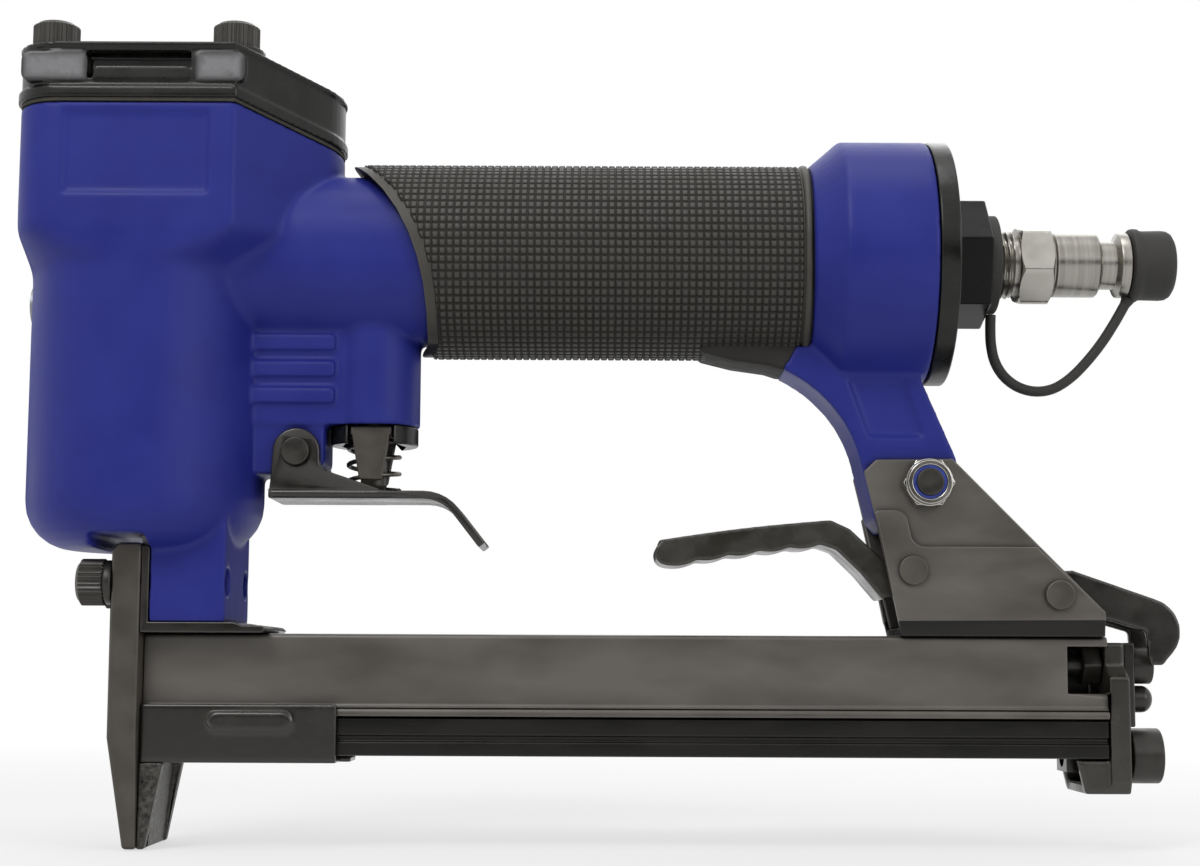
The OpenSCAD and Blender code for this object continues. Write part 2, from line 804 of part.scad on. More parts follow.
// Block behind the driver slot: a wedge with a cheek on each side
module nose_block() {
    side = tip_w / 2 - 0.5;
    cheek_t = 2.4;
    cheek_top = slot_half + nose_block_t + 1.5;
    color(black) {
        across_y(-side, side)
            polygon([
                [slot_half, 0], [slot_half + 1.2, 0], [slot_half + nose_block_t, cover_z],
                [slot_half, cover_z]]);
        both_sides()
            across_y(-side, cheek_t - side)
                polygon([[slot_half, 0], [slot_half + 1.4, 0], [cheek_top, cover_z], [slot_half, cover_z]]);
    }
}

// Two dowels that place the nose plate and the sheet on the foot
module dowels(r) {
    for (side = [-1, 1])
        rod_x(nose_front + 1.6, foot_x + 6, dowel_z, r, side * nose_screw_y);
}

module foot_pin() {
    color(black) dowels(dowel_r);
}

// Magazine
module magazine_rail() {
    side = rail_w / 2;
    notch_x = rail_end - 7.4;
    color(black)
    difference() {
        along_x(rail_x, rail_end) {
            difference() {
                translate([-side, rail_z]) square([rail_w, rail_h]);
                translate([-rail_in, rail_z - 1]) square([2 * rail_in, rail_roof - rail_z + 1]);
            }
            for (end = [-1, 1])
                translate([end * (side + lip_out / 2) - lip_out / 2 - 0.1, rail_z])
                    square([lip_out + 0.2, lip_h]);
        }
        // Notch that gives a spanner room at the catch bolt's nut
        across_y(-side - 2, -rail_in + 0.5)
            translate([notch_x, rail_z + 4.6]) square([rail_end - notch_x + 1, 8.6]);
    }
}

module front_cover() {
    out = cover_in + cover_wall;
    emboss_h = 3.2;
    emboss_z = cover_top - 1.7 - emboss_h;
    cover_end = rail_x + cover_len;
    color(black) {
        along_x(rail_x, cover_end)
            difference() {
                translate([-out, cover_z]) square([2 * out, cover_top - cover_z]);
                translate([-cover_in, cover_z + cover_wall]) square([2 * cover_in, cover_top]);
            }
        both_sides()
            across_y(-out - 0.4, -out + 0.2)
                rounded_bar(rail_x + 12.6, rail_x + 27.6, emboss_z, emboss_z + emboss_h);
        translate([cover_end - 1, -4, cover_z]) cube([3, 8, cover_wall]);
    }
}

module magazine_drawer() {
    side = rail_w / 2;
    groove_z = drawer_z + 2.6;
    slot_x = pusher_x + 2;
    color(black)
    difference() {
        union() {
            along_x(drawer_x, rail_end) difference() {
                translate([-side, drawer_z]) square([rail_w, drawer_h]);
                for (end = [-1, 1])
                    translate([end * side - 0.6, groove_z]) square([1.2, 1.1]);
            }
            along_x(drawer_x, core_end)
                translate([-core_w / 2, drawer_z + 1]) square([core_w, core_top - drawer_z - 1]);
        }
        along_x(drawer_x + 2.2, rail_end + 1)
            translate([-core_in, drawer_z - 1]) square([2 * core_in, core_top - core_wall - drawer_z + 1]);
        translate([slot_x, -1.8, core_top - 3]) cube([end_block_x - slot_x, 3.6, 5]);
        rod_x(drawer_x - 1, drawer_x + 3, rod_z, rod_r + run);
    }
}

// Block that closes the drawer; its lug takes the drawer screw
module drawer_end_block() {
    side = core_in - run;
    lug_len = 7;
    lug_drop = 2.6;
    color(black)
    difference() {
        union() {
            translate([end_block_x, -side, drawer_z + 0.3])
                cube([rail_end - end_block_x, 2 * side, drawer_h + 1]);
            translate([rail_end - lug_len, -side, drawer_z - lug_drop])
                cube([lug_len, 2 * side, lug_drop + 1]);
            translate([end_block_x, -side, drawer_z + 1])
                cube([4 - run, 2 * side, core_top - core_wall - run - drawer_z - 1]);
        }
        rod_x(end_block_x - 1, core_end + 1, rod_z, rod_r + run);
        rod_x(rail_end - lug_len - 1, rail_end + 1, drawer_screw_z, small_screw_r + run);
    }
}

module drawer_end_plate() {
    side = rail_w / 2 + 0.5;
    foot_t = 2;
    toe = 4.6;
    color(black)
    difference() {
        union() {
            along_x(end_plate_x, end_plate_back)
                polygon([
                    [-side + 1, end_plate_z], [side - 1, end_plate_z], [side, end_plate_z + 2],
                    [side, tongue_z - 2], [tongue_side, tongue_z], [tongue_side, end_plate_top],
                    [-tongue_side, end_plate_top],
                    [-tongue_side, tongue_z], [-side, tongue_z - 2], [-side, end_plate_z + 2]]);
            translate([end_plate_x - toe, 1 - side, end_plate_z])
                cube([toe + end_plate_t, 2 * side - 2, foot_t]);
            both_sides()
                across_y(1 - side, 1 - side + foot_t)
                    polygon([
                        [end_plate_x - toe, end_plate_z], [end_plate_x - toe - 1.4, drawer_z - pass],
                        [end_plate_x + 1, drawer_z - pass], [end_plate_x + 1, end_plate_z]]);
        }
        rod_x(end_plate_x - 1, end_plate_back + 1, catch_z, small_screw_r + run);
        rod_x(end_plate_x - 1, end_plate_back + 1, catch_rivet_z, 1.5 + run);
        rod_x(end_plate_x - 1, end_plate_back + 1, drawer_screw_z, small_screw_r + run);
    }
}

module catch_bracket() {
    side = tongue_side - 0.8;
    low = drawer_screw_z + drawer_head_r + pass;
    color(black)
    difference() {
        translate([end_plate_back, -side, low]) cube([catch_t, 2 * side, catch_z + 4.2 - low]);
        rod_x(end_plate_back - 1, end_plate_back + catch_t + 1, catch_z, small_screw_r + run);
        rod_x(end_plate_back - 1, end_plate_back + catch_t + 1, catch_rivet_z, 1.5 + run);
    }
}

module catch_bolt() {
    back = end_plate_back + catch_t;
    color(black)
    difference() {
        union() {
            rod_x(back, back + 4, catch_z, catch_head_r);
            rod_x(end_plate_x - 6.4, back + 1, catch_z, small_screw_r);
        }
        hex_x(back + 2, back + 5, catch_z, 4);
    }
}

module catch_nut() {
    color(black)
    difference() {
        hex_x(end_plate_x - 3.6, end_plate_x, catch_z, nut_af - 1.4, 30);
        rod_x(end_plate_x - 6, end_plate_x + 1, catch_z, small_screw_r + 0.04);
    }
}

module catch_rivet() {
    back = end_plate_back + catch_t;
    wall_h = 2.2;
    dome_h = 2;
    color(black) {
        rod_x(end_plate_x, back + 0.5, catch_rivet_z, 1.5);
        translate([back, 0, catch_rivet_z]) rotate([0, 90, 0])
            rotate_extrude()
                polygon(concat([[0, 0], [catch_dome_r, 0]],
                    [for (p = arc(0, 0, 1, 0, 90, 6)) [catch_dome_r * p[0], wall_h + dome_h * p[1]]]));
    }
}

module drawer_screw() {
    z = drawer_screw_z;
    neck = 1.4;
    back = end_plate_back + 7.2;
    color(black)
    difference() {
        union() {
            rod_x(end_plate_back + neck, back, z, drawer_head_r);
            rod_x(end_plate_back, back - 1, z, drawer_head_r - 1.3);
            rod_x(rail_end - 6, back - 1, z, small_screw_r);
        }
        hex_x(back - 2.6, back + 1, z, 5);
    }
}

module pusher() {
    inner = core_w / 2 + 2 * run;
    roof = core_top + 2 * run;
    low = drawer_top + 1.4;
    foot_len = 5;
    color(steel)
    difference() {
        union() {
            along_x(pusher_x, pusher_end) difference() {
                translate([-pusher_side, low]) square([2 * pusher_side, rail_roof - 2 * run - low]);
                translate([-inner, low - 1]) square([2 * inner, roof - low + 1]);
            }
            translate([pusher_end - foot_len, -1.5, rod_z]) cube([foot_len, 3, roof - rod_z + 0.2]);
            rod_x(pusher_end - foot_len, pusher_end, rod_z, core_in - 0.3);
        }
        rod_x(pusher_x, pusher_end + 1, rod_z, rod_r + run);
    }
}

module pusher_rod() {
    color(steel) rod_x(drawer_x + 0.3, core_end - 0.3, rod_z, rod_r);
}

module pusher_spring() {
    color(spring_steel)
        translate([pusher_end + 0.2, 0, rod_z]) rotate([0, 90, 0])
            coil(2.6, 0.8, 24, end_block_x - pusher_end - 0.4);
}

// Magazine hanger and release
module plate_outline() {
    polygon([
        [arm_bolt_x - 11.4, arm_bolt_z + 2.4], [arm_bolt_x - 9.2, arm_bolt_z + 4.6],
        [arm_bolt_x + 5, arm_bolt_z + 4.8], [rail_end - 0.6, bracket_top + 3.4],
        [rail_end - 0.6, bracket_top], [lever_x - 1.8, bracket_top]]);
}

module pivot_holes() {
    rod_y(lever_x, lever_z, pivot_r + run, -rail_w, rail_w);
    rod_y(latch_x, latch_z, pivot_r + run, -rail_w, rail_w);
}

module arm_plates() {
    color(black)
    difference() {
        both_sides() across_y(-plate_out, -arm_side) plate_outline();
        pivot_holes();
        rod_y(arm_bolt_x, arm_bolt_z, screw_r + run, -rail_w, rail_w);
    }
}

// Lower layer of the hanger, whose upper edge steps down in an S
module magazine_bracket() {
    step_x = lever_x + 1.8;
    step_z = lever_z + 11.1;
    shelf_z = lever_z + 4.4;
    color(black)
    difference() {
        union() {
            both_sides()
                across_y(-bracket_out, -plate_out)
                    polygon(concat(
                        [[lever_x - 2.2, rail_top], [lever_x - 6.9, step_z - 0.6], [lever_x - 6.4, step_z]],
                        arc(step_x - 5, step_z - 2.4, 2.4, 90, 20, 4),
                        arc(step_x + 0.4, shelf_z + 2.6, 2.6, 200, 270, 4),
                        [[rail_end - 13, shelf_z], [rail_end - 0.6, bracket_top + 3],
                         [rail_end - 0.6, rail_top]]));
            translate([lever_x - 2.2, -plate_out - 0.5, rail_top])
                cube([rail_end - 0.6 - lever_x + 2.2, 2 * plate_out + 1, plate_t]);
        }
        pivot_holes();
    }
}

module arm_bolt() {
    color(black) {
        rod_y(arm_bolt_x, arm_bolt_z, screw_r, -plate_out - 5.6, plate_out + 1);
        difference() {
            rod_y(arm_bolt_x, arm_bolt_z, head_r, plate_out, plate_out + screw_d);
            translate([arm_bolt_x, plate_out + screw_d + 1, arm_bolt_z]) rotate([90, 0, 0])
                cylinder(h = 3.5, d = 0.92 * screw_d, $fn = 6);
        }
    }
}

module arm_nut() {
    color(steel)
    difference() {
        union() {
            translate([arm_bolt_x, -plate_out, arm_bolt_z]) rotate([90, 0, 0])
                cylinder(h = 4, d = nut_af / cos(30), $fn = 6);
            rod_y(arm_bolt_x, arm_bolt_z, nut_af / 2 - 0.1, -plate_out - 5.2, -plate_out);
        }
        rod_y(arm_bolt_x, arm_bolt_z, screw_r + 0.04, -rail_w, 0);
        rod_y(arm_bolt_x, arm_bolt_z, screw_r + 0.6, -plate_out - 6, -plate_out - 3.8);
    }
}

module nut_ring() {
    color("#2b3fae")
    difference() {
        rod_y(arm_bolt_x, arm_bolt_z, screw_r + 0.56, -plate_out - 5, -plate_out - 3.8);
        rod_y(arm_bolt_x, arm_bolt_z, screw_r + 0.04, -rail_w, 0);
    }
}

module pivot_pin(x, z) {
    color(black) {
        rod_y(x, z, pivot_r, -bracket_out - 0.6, bracket_out + 0.6);
        for (side = [-1, 1])
            rod_y(x, z, pivot_head_r, side * (bracket_out + 0.5) - 0.5, side * (bracket_out + 0.5) + 0.5);
    }
}

module lever_pin() {
    pivot_pin(lever_x, lever_z);
}

module latch_pin() {
    pivot_pin(latch_x, latch_z);
}

// Finger lever: waved grip, crook down to the pin, short inner arm above the latch
module lever() {
    reach = 47.4;
    side = latch_side - 0.6;
    tip = [lever_x - reach, lever_z + 3.2];
    crown = [lever_x - 14.6, lever_z + 9.5];
    bow = 0.4;
    waves = 5;
    run_x = crown[0] - 2 - tip[0] - lever_t / 2;
    grip_top = [for (i = [0:8]) let (f = i / 8)
        [tip[0] + f * (crown[0] - tip[0]), tip[1] + lever_t / 2 + f * (crown[1] - tip[1] - lever_t / 2)
            + bow * sin(180 * f)]];
    grip_low = [for (i = [waves * 6:-1:0]) let (f = i / (waves * 6))
        [tip[0] + lever_t / 2 + f * run_x, tip[1] - lever_t / 2 + f * (crown[1] - tip[1] - lever_t / 2)
            + bow * sin(180 * f) - 0.5 * abs(sin(180 * waves * f))]];
    color(black)
    difference() {
        union() {
            across_y(-side, side)
                polygon(concat(
                    arc(tip[0] + lever_t / 2, tip[1], lever_t / 2, 270, 90, 6), grip_top,
                    [[lever_x - 11, lever_z + 7.8], [lever_x - 7.6, lever_z + 4.6],
                     [lever_x - 4.4, lever_z + 1.8], [lever_x, lever_z], [lever_x - 1.6, lever_z - 4.6],
                     [lever_x - 5.2, lever_z - 5.2],
                     [lever_x - 9.4, lever_z - 0.2], [crown[0] + 0.9, crown[1] - lever_t - 1]], grip_low));
            rod_y(lever_x, lever_z, pivot_r + 2, -side, side);
            across_y(-release_side, release_side)
                polygon([
                    [lever_x, lever_z + 3], [lever_x + 9, lever_z + 0.6], [arm_tip_x + 2, touch_z + 2.2],
                    [arm_tip_x + 2, touch_z + 0.7], [arm_tip_x, touch_z], [arm_tip_x - 1.6, touch_z],
                    [lever_x, lever_z - 3.4]]);
        }
        rod_y(lever_x, lever_z, pivot_r + run, -rail_w, rail_w);
    }
}

// Latch: channel with two claw cheeks, and a tongue under the lever's inner arm
module latch() {
    top_x = latch_x + 3.2;
    claw_r = 6.2;
    crest = [claw_end - claw_r * (1 - cos(75)), claw_z + claw_r * (1 + sin(75))];
    color(black)
    difference() {
        union() {
            both_sides()
                across_y(-latch_side, -latch_in)
                    polygon(concat(
                        [[latch_x - 4, latch_z - 3.6], [latch_x - 4, latch_z + 2], [latch_x, latch_z + 4.6],
                         [top_x, latch_z + 4.7]],
                        arc(claw_end - claw_r, claw_z + claw_r, claw_r, 75, -45, 8),
                        [[claw_end - 3.4, claw_z], [claw_x + 0.6, claw_z],
                         [claw_x, claw_z + 6.2], [rail_end + 1, latch_z - 4.6],
                         [latch_x + 2, latch_z - 3.6]]));
            across_y(-latch_side, latch_side)
                polygon([
                    [top_x, latch_z + 4.7 - plate_t], [top_x, latch_z + 4.7], crest,
                    crest - [0.4, plate_t]]);
            across_y(-release_side, release_side)
                polygon([
                    [arm_tip_x - 1, latch_z - 2.4], [arm_tip_x - 1, touch_z - pass],
                    [arm_tip_x + 3, touch_z - pass], [latch_x - 5.6, latch_z + 2.2],
                    [latch_x - 5.6, latch_z - 2.4]]);
            // Cross webs that tie the tongue to the cheeks
            across_y(-latch_side, latch_side)
                translate([latch_x - 7.4, latch_z - 2.4]) square([2.6, 4.6]);
            both_sides()
                across_y(-latch_side, -latch_in)
                    translate([latch_x - 7.4, latch_z - 2.4]) square([4, 4.6]);
        }
        rod_y(latch_x, latch_z, pivot_r + run, -rail_w, rail_w);
    }
}

module latch_spring() {
    color(spring_steel)
        translate([latch_x, -4.6, latch_z]) rotate([-90, 0, 0]) coil(pivot_r + 1, 0.8, 6, 9.2);
}

// Grip
module grip_sleeve() {
    top_x = valve_x + boss_r - 13.2;
    color(rubber)
    difference() {
        along_x(top_x - 2, grip_end_x) translate([0, handle_z]) stadium(grip_w, grip_h);
        along_x(top_x - 3, grip_end_x + 1) translate([0, handle_z]) stadium(handle_w + 0.1, handle_h + 0.1);
        across_y(-grip_w, grip_w)
            polygon(concat(
                [[top_x - 9, handle_z - grip_h], [top_x - 9, handle_z + grip_h],
                 [top_x, handle_z + grip_h / 2 + 1]],
                arc(top_x - 25, handle_z + grip_h / 2 - 31.6, 40.3, 52, -5, 8)));
    }
}

// Air inlet
module end_cap() {
    spigot_x = rear_x - 8;
    color(black)
    difference() {
        union() {
            rod_x(rear_x, disc_end, handle_z, rear_d / 2);
            rod_x(spigot_x, rear_x + 1, handle_z, spigot_r);
        }
        rod_x(spigot_x - 1, disc_end + 1, handle_z, bushing_spigot_r + 0.05);
        translate([spigot_x + 3, 0, handle_z]) rotate([0, 90, 0]) difference() {
            cylinder(h = 2.4, r = spigot_r + 1);
            translate([0, 0, -1]) cylinder(h = 6, r = spigot_r - 1.6);
        }
    }
}

module end_cap_o_ring() {
    minor = (1.6 + run) / 2 - 0.03;
    color(rubber)
        translate([rear_x - 8 + 3 + 1.2, 0, handle_z]) rotate([0, 90, 0])
            torus(spigot_r - 1.6 + minor + 0.03, minor);
}

module inlet_bushing() {
    color(black)
    difference() {
        union() {
            hex_x(disc_end, bushing_end, handle_z, bushing_af, 16.5);
            rod_x(disc_end - 9, disc_end + 1, handle_z, bushing_spigot_r);
        }
        rod_x(disc_end - 10, bushing_end + 1, handle_z, thread_r + 0.05);
    }
}

module inlet_ring() {
    color(rubber)
    difference() {
        rod_x(bushing_end, ring_end, handle_z, inlet_ring_r);
        rod_x(bushing_end - 1, ring_end + 1, handle_z, thread_r + run);
    }
}

module air_plug() {
    nipple_r = nipple_d / 2;
    color(steel)
    difference() {
        union() {
            rod_x(disc_end - 6, hex_x + 1, handle_z, thread_r);
            hex_x(hex_x, hex_end, handle_z, plug_af, 30);
            rod_x(hex_end - 1, nipple_end, handle_z, nipple_r);
            rod_x(nipple_end - 1, groove_end + 1, handle_z, nipple_r - 1.5);
            rod_x(groove_end, collar_end, handle_z, nipple_r + 0.1);
            rod_x(collar_end - 1, dust_cap_end - 2, handle_z, plug_tip_r);
        }
        rod_x(disc_end - 7, dust_cap_end, handle_z, plug_bore_r);
    }
}

module dust_cap() {
    color(rubber)
    difference() {
        union() {
            translate([collar_end + 0.1, 0, handle_z]) rotate([0, 90, 0])
                cylinder(h = dust_cap_end - collar_end - 0.1, r1 = dust_cap_r, r2 = dust_cap_r - 0.4);
            rod_x(collar_end + 0.1, collar_end + 1.9, handle_z, dust_cap_r + 0.35);
        }
        rod_x(collar_end - 1, dust_cap_end - 1.8, handle_z, plug_tip_r + run);
    }
}

module dust_cap_strap() {
    color(rubber) tube(strap_route, strap_r, 8, [0, 1, 0]);
}

// Trigger
module trigger() {
    eye_r = 4.4;
    front_x = trigger_x - 5;
    cheek_end = valve_x + 3.4;
    sweep_r = 2.4;
    bend_z = web_z - bend_r;
    flap_run = [flap * cos(bend_turn), -flap * sin(bend_turn)];
    under = arc(bend_x, bend_z, bend_r, 90, 90 - bend_turn, 5);
    over = arc(bend_x, bend_z, bend_r + trigger_t, 90 - bend_turn, 90, 5);
    color(black)
    difference() {
        union() {
            both_sides()
                across_y(-cheek_out, -cheek_in)
                    polygon(concat(
                        [[front_x, web_z + 0.2], [front_x + 0.3, web_z + 3]],
                        arc(trigger_x, trigger_z, eye_r, 165, 0, 10),
                        arc(trigger_x + eye_r + sweep_r, trigger_z - 1.4, sweep_r, 180, 245, 4),
                        [[cheek_end, web_top - 0.2], [cheek_end - 1, web_z + 0.2]]));
            // Web, bend and flap under the finger
            across_y(-cheek_out, cheek_out)
                polygon(concat([[front_x, web_z]], under, [under[5] + flap_run, over[0] + flap_run], over,
                    [[front_x, web_top]]));
        }
        rod_y(trigger_x, trigger_z, trigger_pin_r + run, -rail_w, rail_w);
    }
}

module trigger_pin() {
    color(black) {
        rod_y(trigger_x, trigger_z, trigger_pin_r, -cheek_out - 0.2, cheek_out + 1.6);
        rod_y(trigger_x, trigger_z, trigger_pin_r + 0.6, -cheek_out - 1.3, -cheek_out - 0.1);
    }
}

module trigger_clip() {
    color(spring_steel) difference() {
        rod_y(trigger_x, trigger_z, trigger_pin_r + 1.4, cheek_out + 0.2, cheek_out + 0.9);
        rod_y(trigger_x, trigger_z, trigger_pin_r + 0.04, cheek_out, cheek_out + 2);
        translate([trigger_x, cheek_out, trigger_z - 1]) cube([8, 2, 2]);
    }
}

module trigger_spring() {
    color(spring_steel)
        translate([valve_x, 0, web_top + 0.1])
            coil(spring_mean_r, spring_wire, 3, yoke_top - yoke_t - web_top - 0.2);
}

module valve_collar() {
    color(black)
    difference() {
        union() {
            rod_z(valve_x, collar_z, boss_z, collar_r);
            rod_z(valve_x, boss_z - 1, boss_z + 17, bushing_r);
        }
        rod_z(valve_x, collar_z - 1, boss_z + 18, stem_r + run);
        rod_z(valve_x, boss_z + 4, boss_z + 18, stem_r + 1.2);
        // Open slot for the stem's legs, and room above it for the yoke's lift
        yoke_pocket(collar_z - 1, boss_z + 0.5, boss_d);
        yoke_pocket(collar_z - 1, yoke_room, leg_out + pass);
        // Counterbore round the spring
        rod_z(valve_x, collar_z - 1, yoke_top - yoke_t + pass, leg_in);
    }
}

stem_ring_zs = [boss_z + 7, boss_z + 13];

// Stem with a yoke whose two tapered legs hang on either side of the spring
module valve_stem() {
    leg_low_half = 2.1;
    leg_z = stem_tip_z + 1.8;
    color(black)
    difference() {
        union() {
            rod_z(valve_x, stem_tip_z + 1, boss_z + 15, stem_r);
            translate([valve_x, 0, stem_tip_z]) cylinder(h = 1, r1 = 1.7, r2 = stem_r);
            translate([valve_x - leg_top_half, -leg_out, yoke_top - yoke_t])
                cube([2 * leg_top_half, 2 * leg_out, yoke_t]);
            both_sides()
                across_y(-leg_out, -leg_in)
                    polygon([
                        [valve_x - leg_top_half, yoke_top], [valve_x + leg_top_half, yoke_top],
                        [valve_x + leg_low_half, leg_z], [valve_x - leg_low_half, leg_z]]);
        }
        for (z = stem_ring_zs)
            translate([valve_x, 0, z - 0.8]) difference() {
                cylinder(h = 1.6, r = stem_r + 1);
                translate([0, 0, -1]) cylinder(h = 4, r = stem_r - 0.6);
            }
    }
}

module valve_o_rings() {
    minor = 0.75;
    color(rubber)
        for (z = stem_ring_zs)
            translate([valve_x, 0, z]) torus(stem_r - 0.6 + minor + 0.03, minor);
}

body_casting();
cap_gasket();
cylinder_cap();
cap_screws();
front_insert();
cylinder_sleeve();
sleeve_o_rings();
bumper();
piston();
piston_o_ring();
driver_blade();
driver_pin();
firing_valve();
firing_valve_spring();
nose_plate();
nose_screws();
nose_spring_washers();
nose_sheet();
nose_block();
foot_pin();
magazine_rail();
front_cover();
magazine_drawer();
drawer_end_block();
drawer_end_plate();
catch_bracket();
catch_bolt();
catch_nut();
catch_rivet();
drawer_screw();
pusher();
pusher_rod();
pusher_spring();
arm_plates();
magazine_bracket();
arm_bolt();
arm_nut();
nut_ring();
lever();
lever_pin();
latch();
latch_pin();
latch_spring();
grip_sleeve();
end_cap();
end_cap_o_ring();
inlet_bushing();
inlet_ring();
air_plug();
dust_cap();
dust_cap_strap();
trigger();
trigger_pin();
trigger_clip();
trigger_spring();
valve_collar();
valve_stem();
valve_o_rings();
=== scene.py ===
"""Pneumatic upholstery stapler: the looks, in metres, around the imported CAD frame."""
import json
import math

import bmesh
import bpy
from mathutils import Matrix, Vector
from mathutils.bvhtree import BVHTree

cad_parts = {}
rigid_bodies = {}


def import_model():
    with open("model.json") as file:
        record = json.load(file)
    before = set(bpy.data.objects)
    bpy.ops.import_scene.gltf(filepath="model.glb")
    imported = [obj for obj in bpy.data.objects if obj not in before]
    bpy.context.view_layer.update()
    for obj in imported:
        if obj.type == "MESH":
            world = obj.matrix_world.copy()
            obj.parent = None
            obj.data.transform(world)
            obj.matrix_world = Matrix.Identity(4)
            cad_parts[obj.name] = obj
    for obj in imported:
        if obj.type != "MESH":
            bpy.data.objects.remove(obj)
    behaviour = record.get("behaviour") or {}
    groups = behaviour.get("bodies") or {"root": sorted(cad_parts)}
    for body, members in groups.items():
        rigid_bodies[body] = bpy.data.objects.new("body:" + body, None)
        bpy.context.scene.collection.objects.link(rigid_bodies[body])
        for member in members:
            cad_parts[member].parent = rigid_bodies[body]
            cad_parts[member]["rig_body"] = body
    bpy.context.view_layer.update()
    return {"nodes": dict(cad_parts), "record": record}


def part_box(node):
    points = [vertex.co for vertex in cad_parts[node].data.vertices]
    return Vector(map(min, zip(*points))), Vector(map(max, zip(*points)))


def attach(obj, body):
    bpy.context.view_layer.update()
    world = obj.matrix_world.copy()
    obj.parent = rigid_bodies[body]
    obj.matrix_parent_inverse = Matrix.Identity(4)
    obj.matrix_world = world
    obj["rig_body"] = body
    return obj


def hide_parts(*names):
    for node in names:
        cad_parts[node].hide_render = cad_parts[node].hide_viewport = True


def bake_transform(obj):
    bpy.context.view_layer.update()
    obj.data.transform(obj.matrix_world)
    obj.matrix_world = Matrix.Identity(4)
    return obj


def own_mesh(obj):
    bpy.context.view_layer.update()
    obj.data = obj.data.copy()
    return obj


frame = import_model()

MM = 0.001
TURN = 2 * math.pi

# Photograph's camera: the eye in millimetres, close in front and tilted slightly up
PHOTO_W = 1200
FOCAL_PX = 2050
SENSOR_MM = 36
EYE_MM = (84.3, -387, 33.2)
LOOK_UP = math.radians(6.5)
ROLL = math.radians(0.25)


def place_camera():
    """Camera at the photograph's viewing angle."""
    data = bpy.data.cameras.new("photo_camera")
    data.sensor_fit = "HORIZONTAL"
    data.sensor_width = SENSOR_MM
    data.lens = SENSOR_MM * FOCAL_PX / PHOTO_W
    data.clip_start = 0.01
    camera = bpy.data.objects.new("photo_camera", data)
    bpy.context.scene.collection.objects.link(camera)
    tilt = Matrix.Rotation(math.pi / 2 + LOOK_UP, 4, "X")
    camera.matrix_world = Matrix.Translation(Vector(EYE_MM) * MM) @ tilt @ Matrix.Rotation(ROLL, 4, "Z")
    bpy.context.scene.camera = camera


place_camera()


# Nodes of the materials
def hex_colour(code):
    """Linear colour of an sRGB hex value."""
    parts = [int(code[i:i + 2], 16) / 255 for i in (1, 3, 5)]
    return tuple(c / 12.92 if c <= 0.04045 else ((c + 0.055) / 1.055) ** 2.4 for c in parts) + (1.0,)


def add_node(tree, kind, inputs=None, **settings):
    """Adds a shader node with its settings, values and links."""
    made = tree.nodes.new("ShaderNode" + kind)
    for name, value in settings.items():
        setattr(made, name, value)
    for name, value in (inputs or {}).items():
        if isinstance(value, bpy.types.NodeSocket):
            tree.links.new(value, made.inputs[name])
        else:
            made.inputs[name].default_value = value
    return made


def per_metre(size):
    """Texture scale at which one patch is about this many millimetres across."""
    return 1 / (size * MM)


def new_material(name):
    """Empty material with its tree, its shader and Object coordinates."""
    material = bpy.data.materials.new(name)
    material.use_nodes = True
    tree = material.node_tree
    place = add_node(tree, "TexCoord").outputs["Object"]
    return material, tree, tree.nodes["Principled BSDF"], place


# Colour sockets of the Mix node, by number
MIX_A = 6
MIX_B = 7
MIX_COLOUR = 2


def finish(name, colours, patch, roughness, grain, depth, stretch=(1, 1, 1), edge_sheen=None, **sockets):
    """Surface that drifts between two colours and two roughnesses, with a grain that stands up.

    patch and grain are sizes in millimetres, depth the grain's height; the edge colour is a painted
    highlight on the outer edges, and with it the creases get painted shade.
    """
    material, tree, shader, place = new_material(name)
    place = add_node(tree, "Mapping", {"Vector": place, "Scale": stretch}).outputs["Vector"]
    drift = add_node(tree, "TexNoise", {"Vector": place, "Scale": per_metre(patch), "Detail": 4.0})
    share = add_node(tree, "MapRange", {"Value": drift.outputs["Fac"], "From Min": 0.35, "From Max": 0.65})
    share = share.outputs["Result"]
    pair = {"Factor": share, MIX_A: hex_colour(colours[0]), MIX_B: hex_colour(colours[1])}
    colour = add_node(tree, "Mix", pair, data_type="RGBA").outputs[MIX_COLOUR]
    # Painted highlight on the outer edges, then painted shade in the creases
    if edge_sheen:
        colour = painted_edge_highlight(tree, colour, hex_colour(edge_sheen))
        colour = painted_crease_shade(tree, colour)
    tree.links.new(colour, shader.inputs["Base Color"])
    gloss = add_node(tree, "MapRange", {"Value": share, "To Min": roughness[0], "To Max": roughness[1]})
    tree.links.new(gloss.outputs["Result"], shader.inputs["Roughness"])
    fine = add_node(tree, "TexNoise", {"Vector": place, "Scale": per_metre(grain), "Detail": 2.0})
    bump = add_node(tree, "Bump", {"Height": fine.outputs["Fac"], "Strength": 1.0, "Distance": depth * MM})
    tree.links.new(bump.outputs["Normal"], shader.inputs["Normal"])
    for socket, value in sockets.items():
        shader.inputs[socket.replace("_", " ")].default_value = value
    return material


def painted_edge_highlight(tree, colour, highlight_colour):
    """Painted highlight: colour that turns lighter on the outer edges, where the Bevel node's normal leaves
    the face's.
    """
    edge_mm = 0.5
    eased = add_node(tree, "Bevel", {"Radius": edge_mm * MM}, samples=4).outputs["Normal"]
    facing = add_node(tree, "NewGeometry").outputs["Normal"]
    agree = add_node(tree, "VectorMath", {0: eased, 1: facing}, operation="DOT_PRODUCT").outputs["Value"]
    highlighted = add_node(tree, "MapRange", {"Value": agree, "From Min": 0.97, "From Max": 0.80,
                                         "To Max": 0.45})
    pair = {"Factor": highlighted.outputs["Result"], MIX_A: colour, MIX_B: highlight_colour}
    return add_node(tree, "Mix", pair, data_type="RGBA").outputs[MIX_COLOUR]


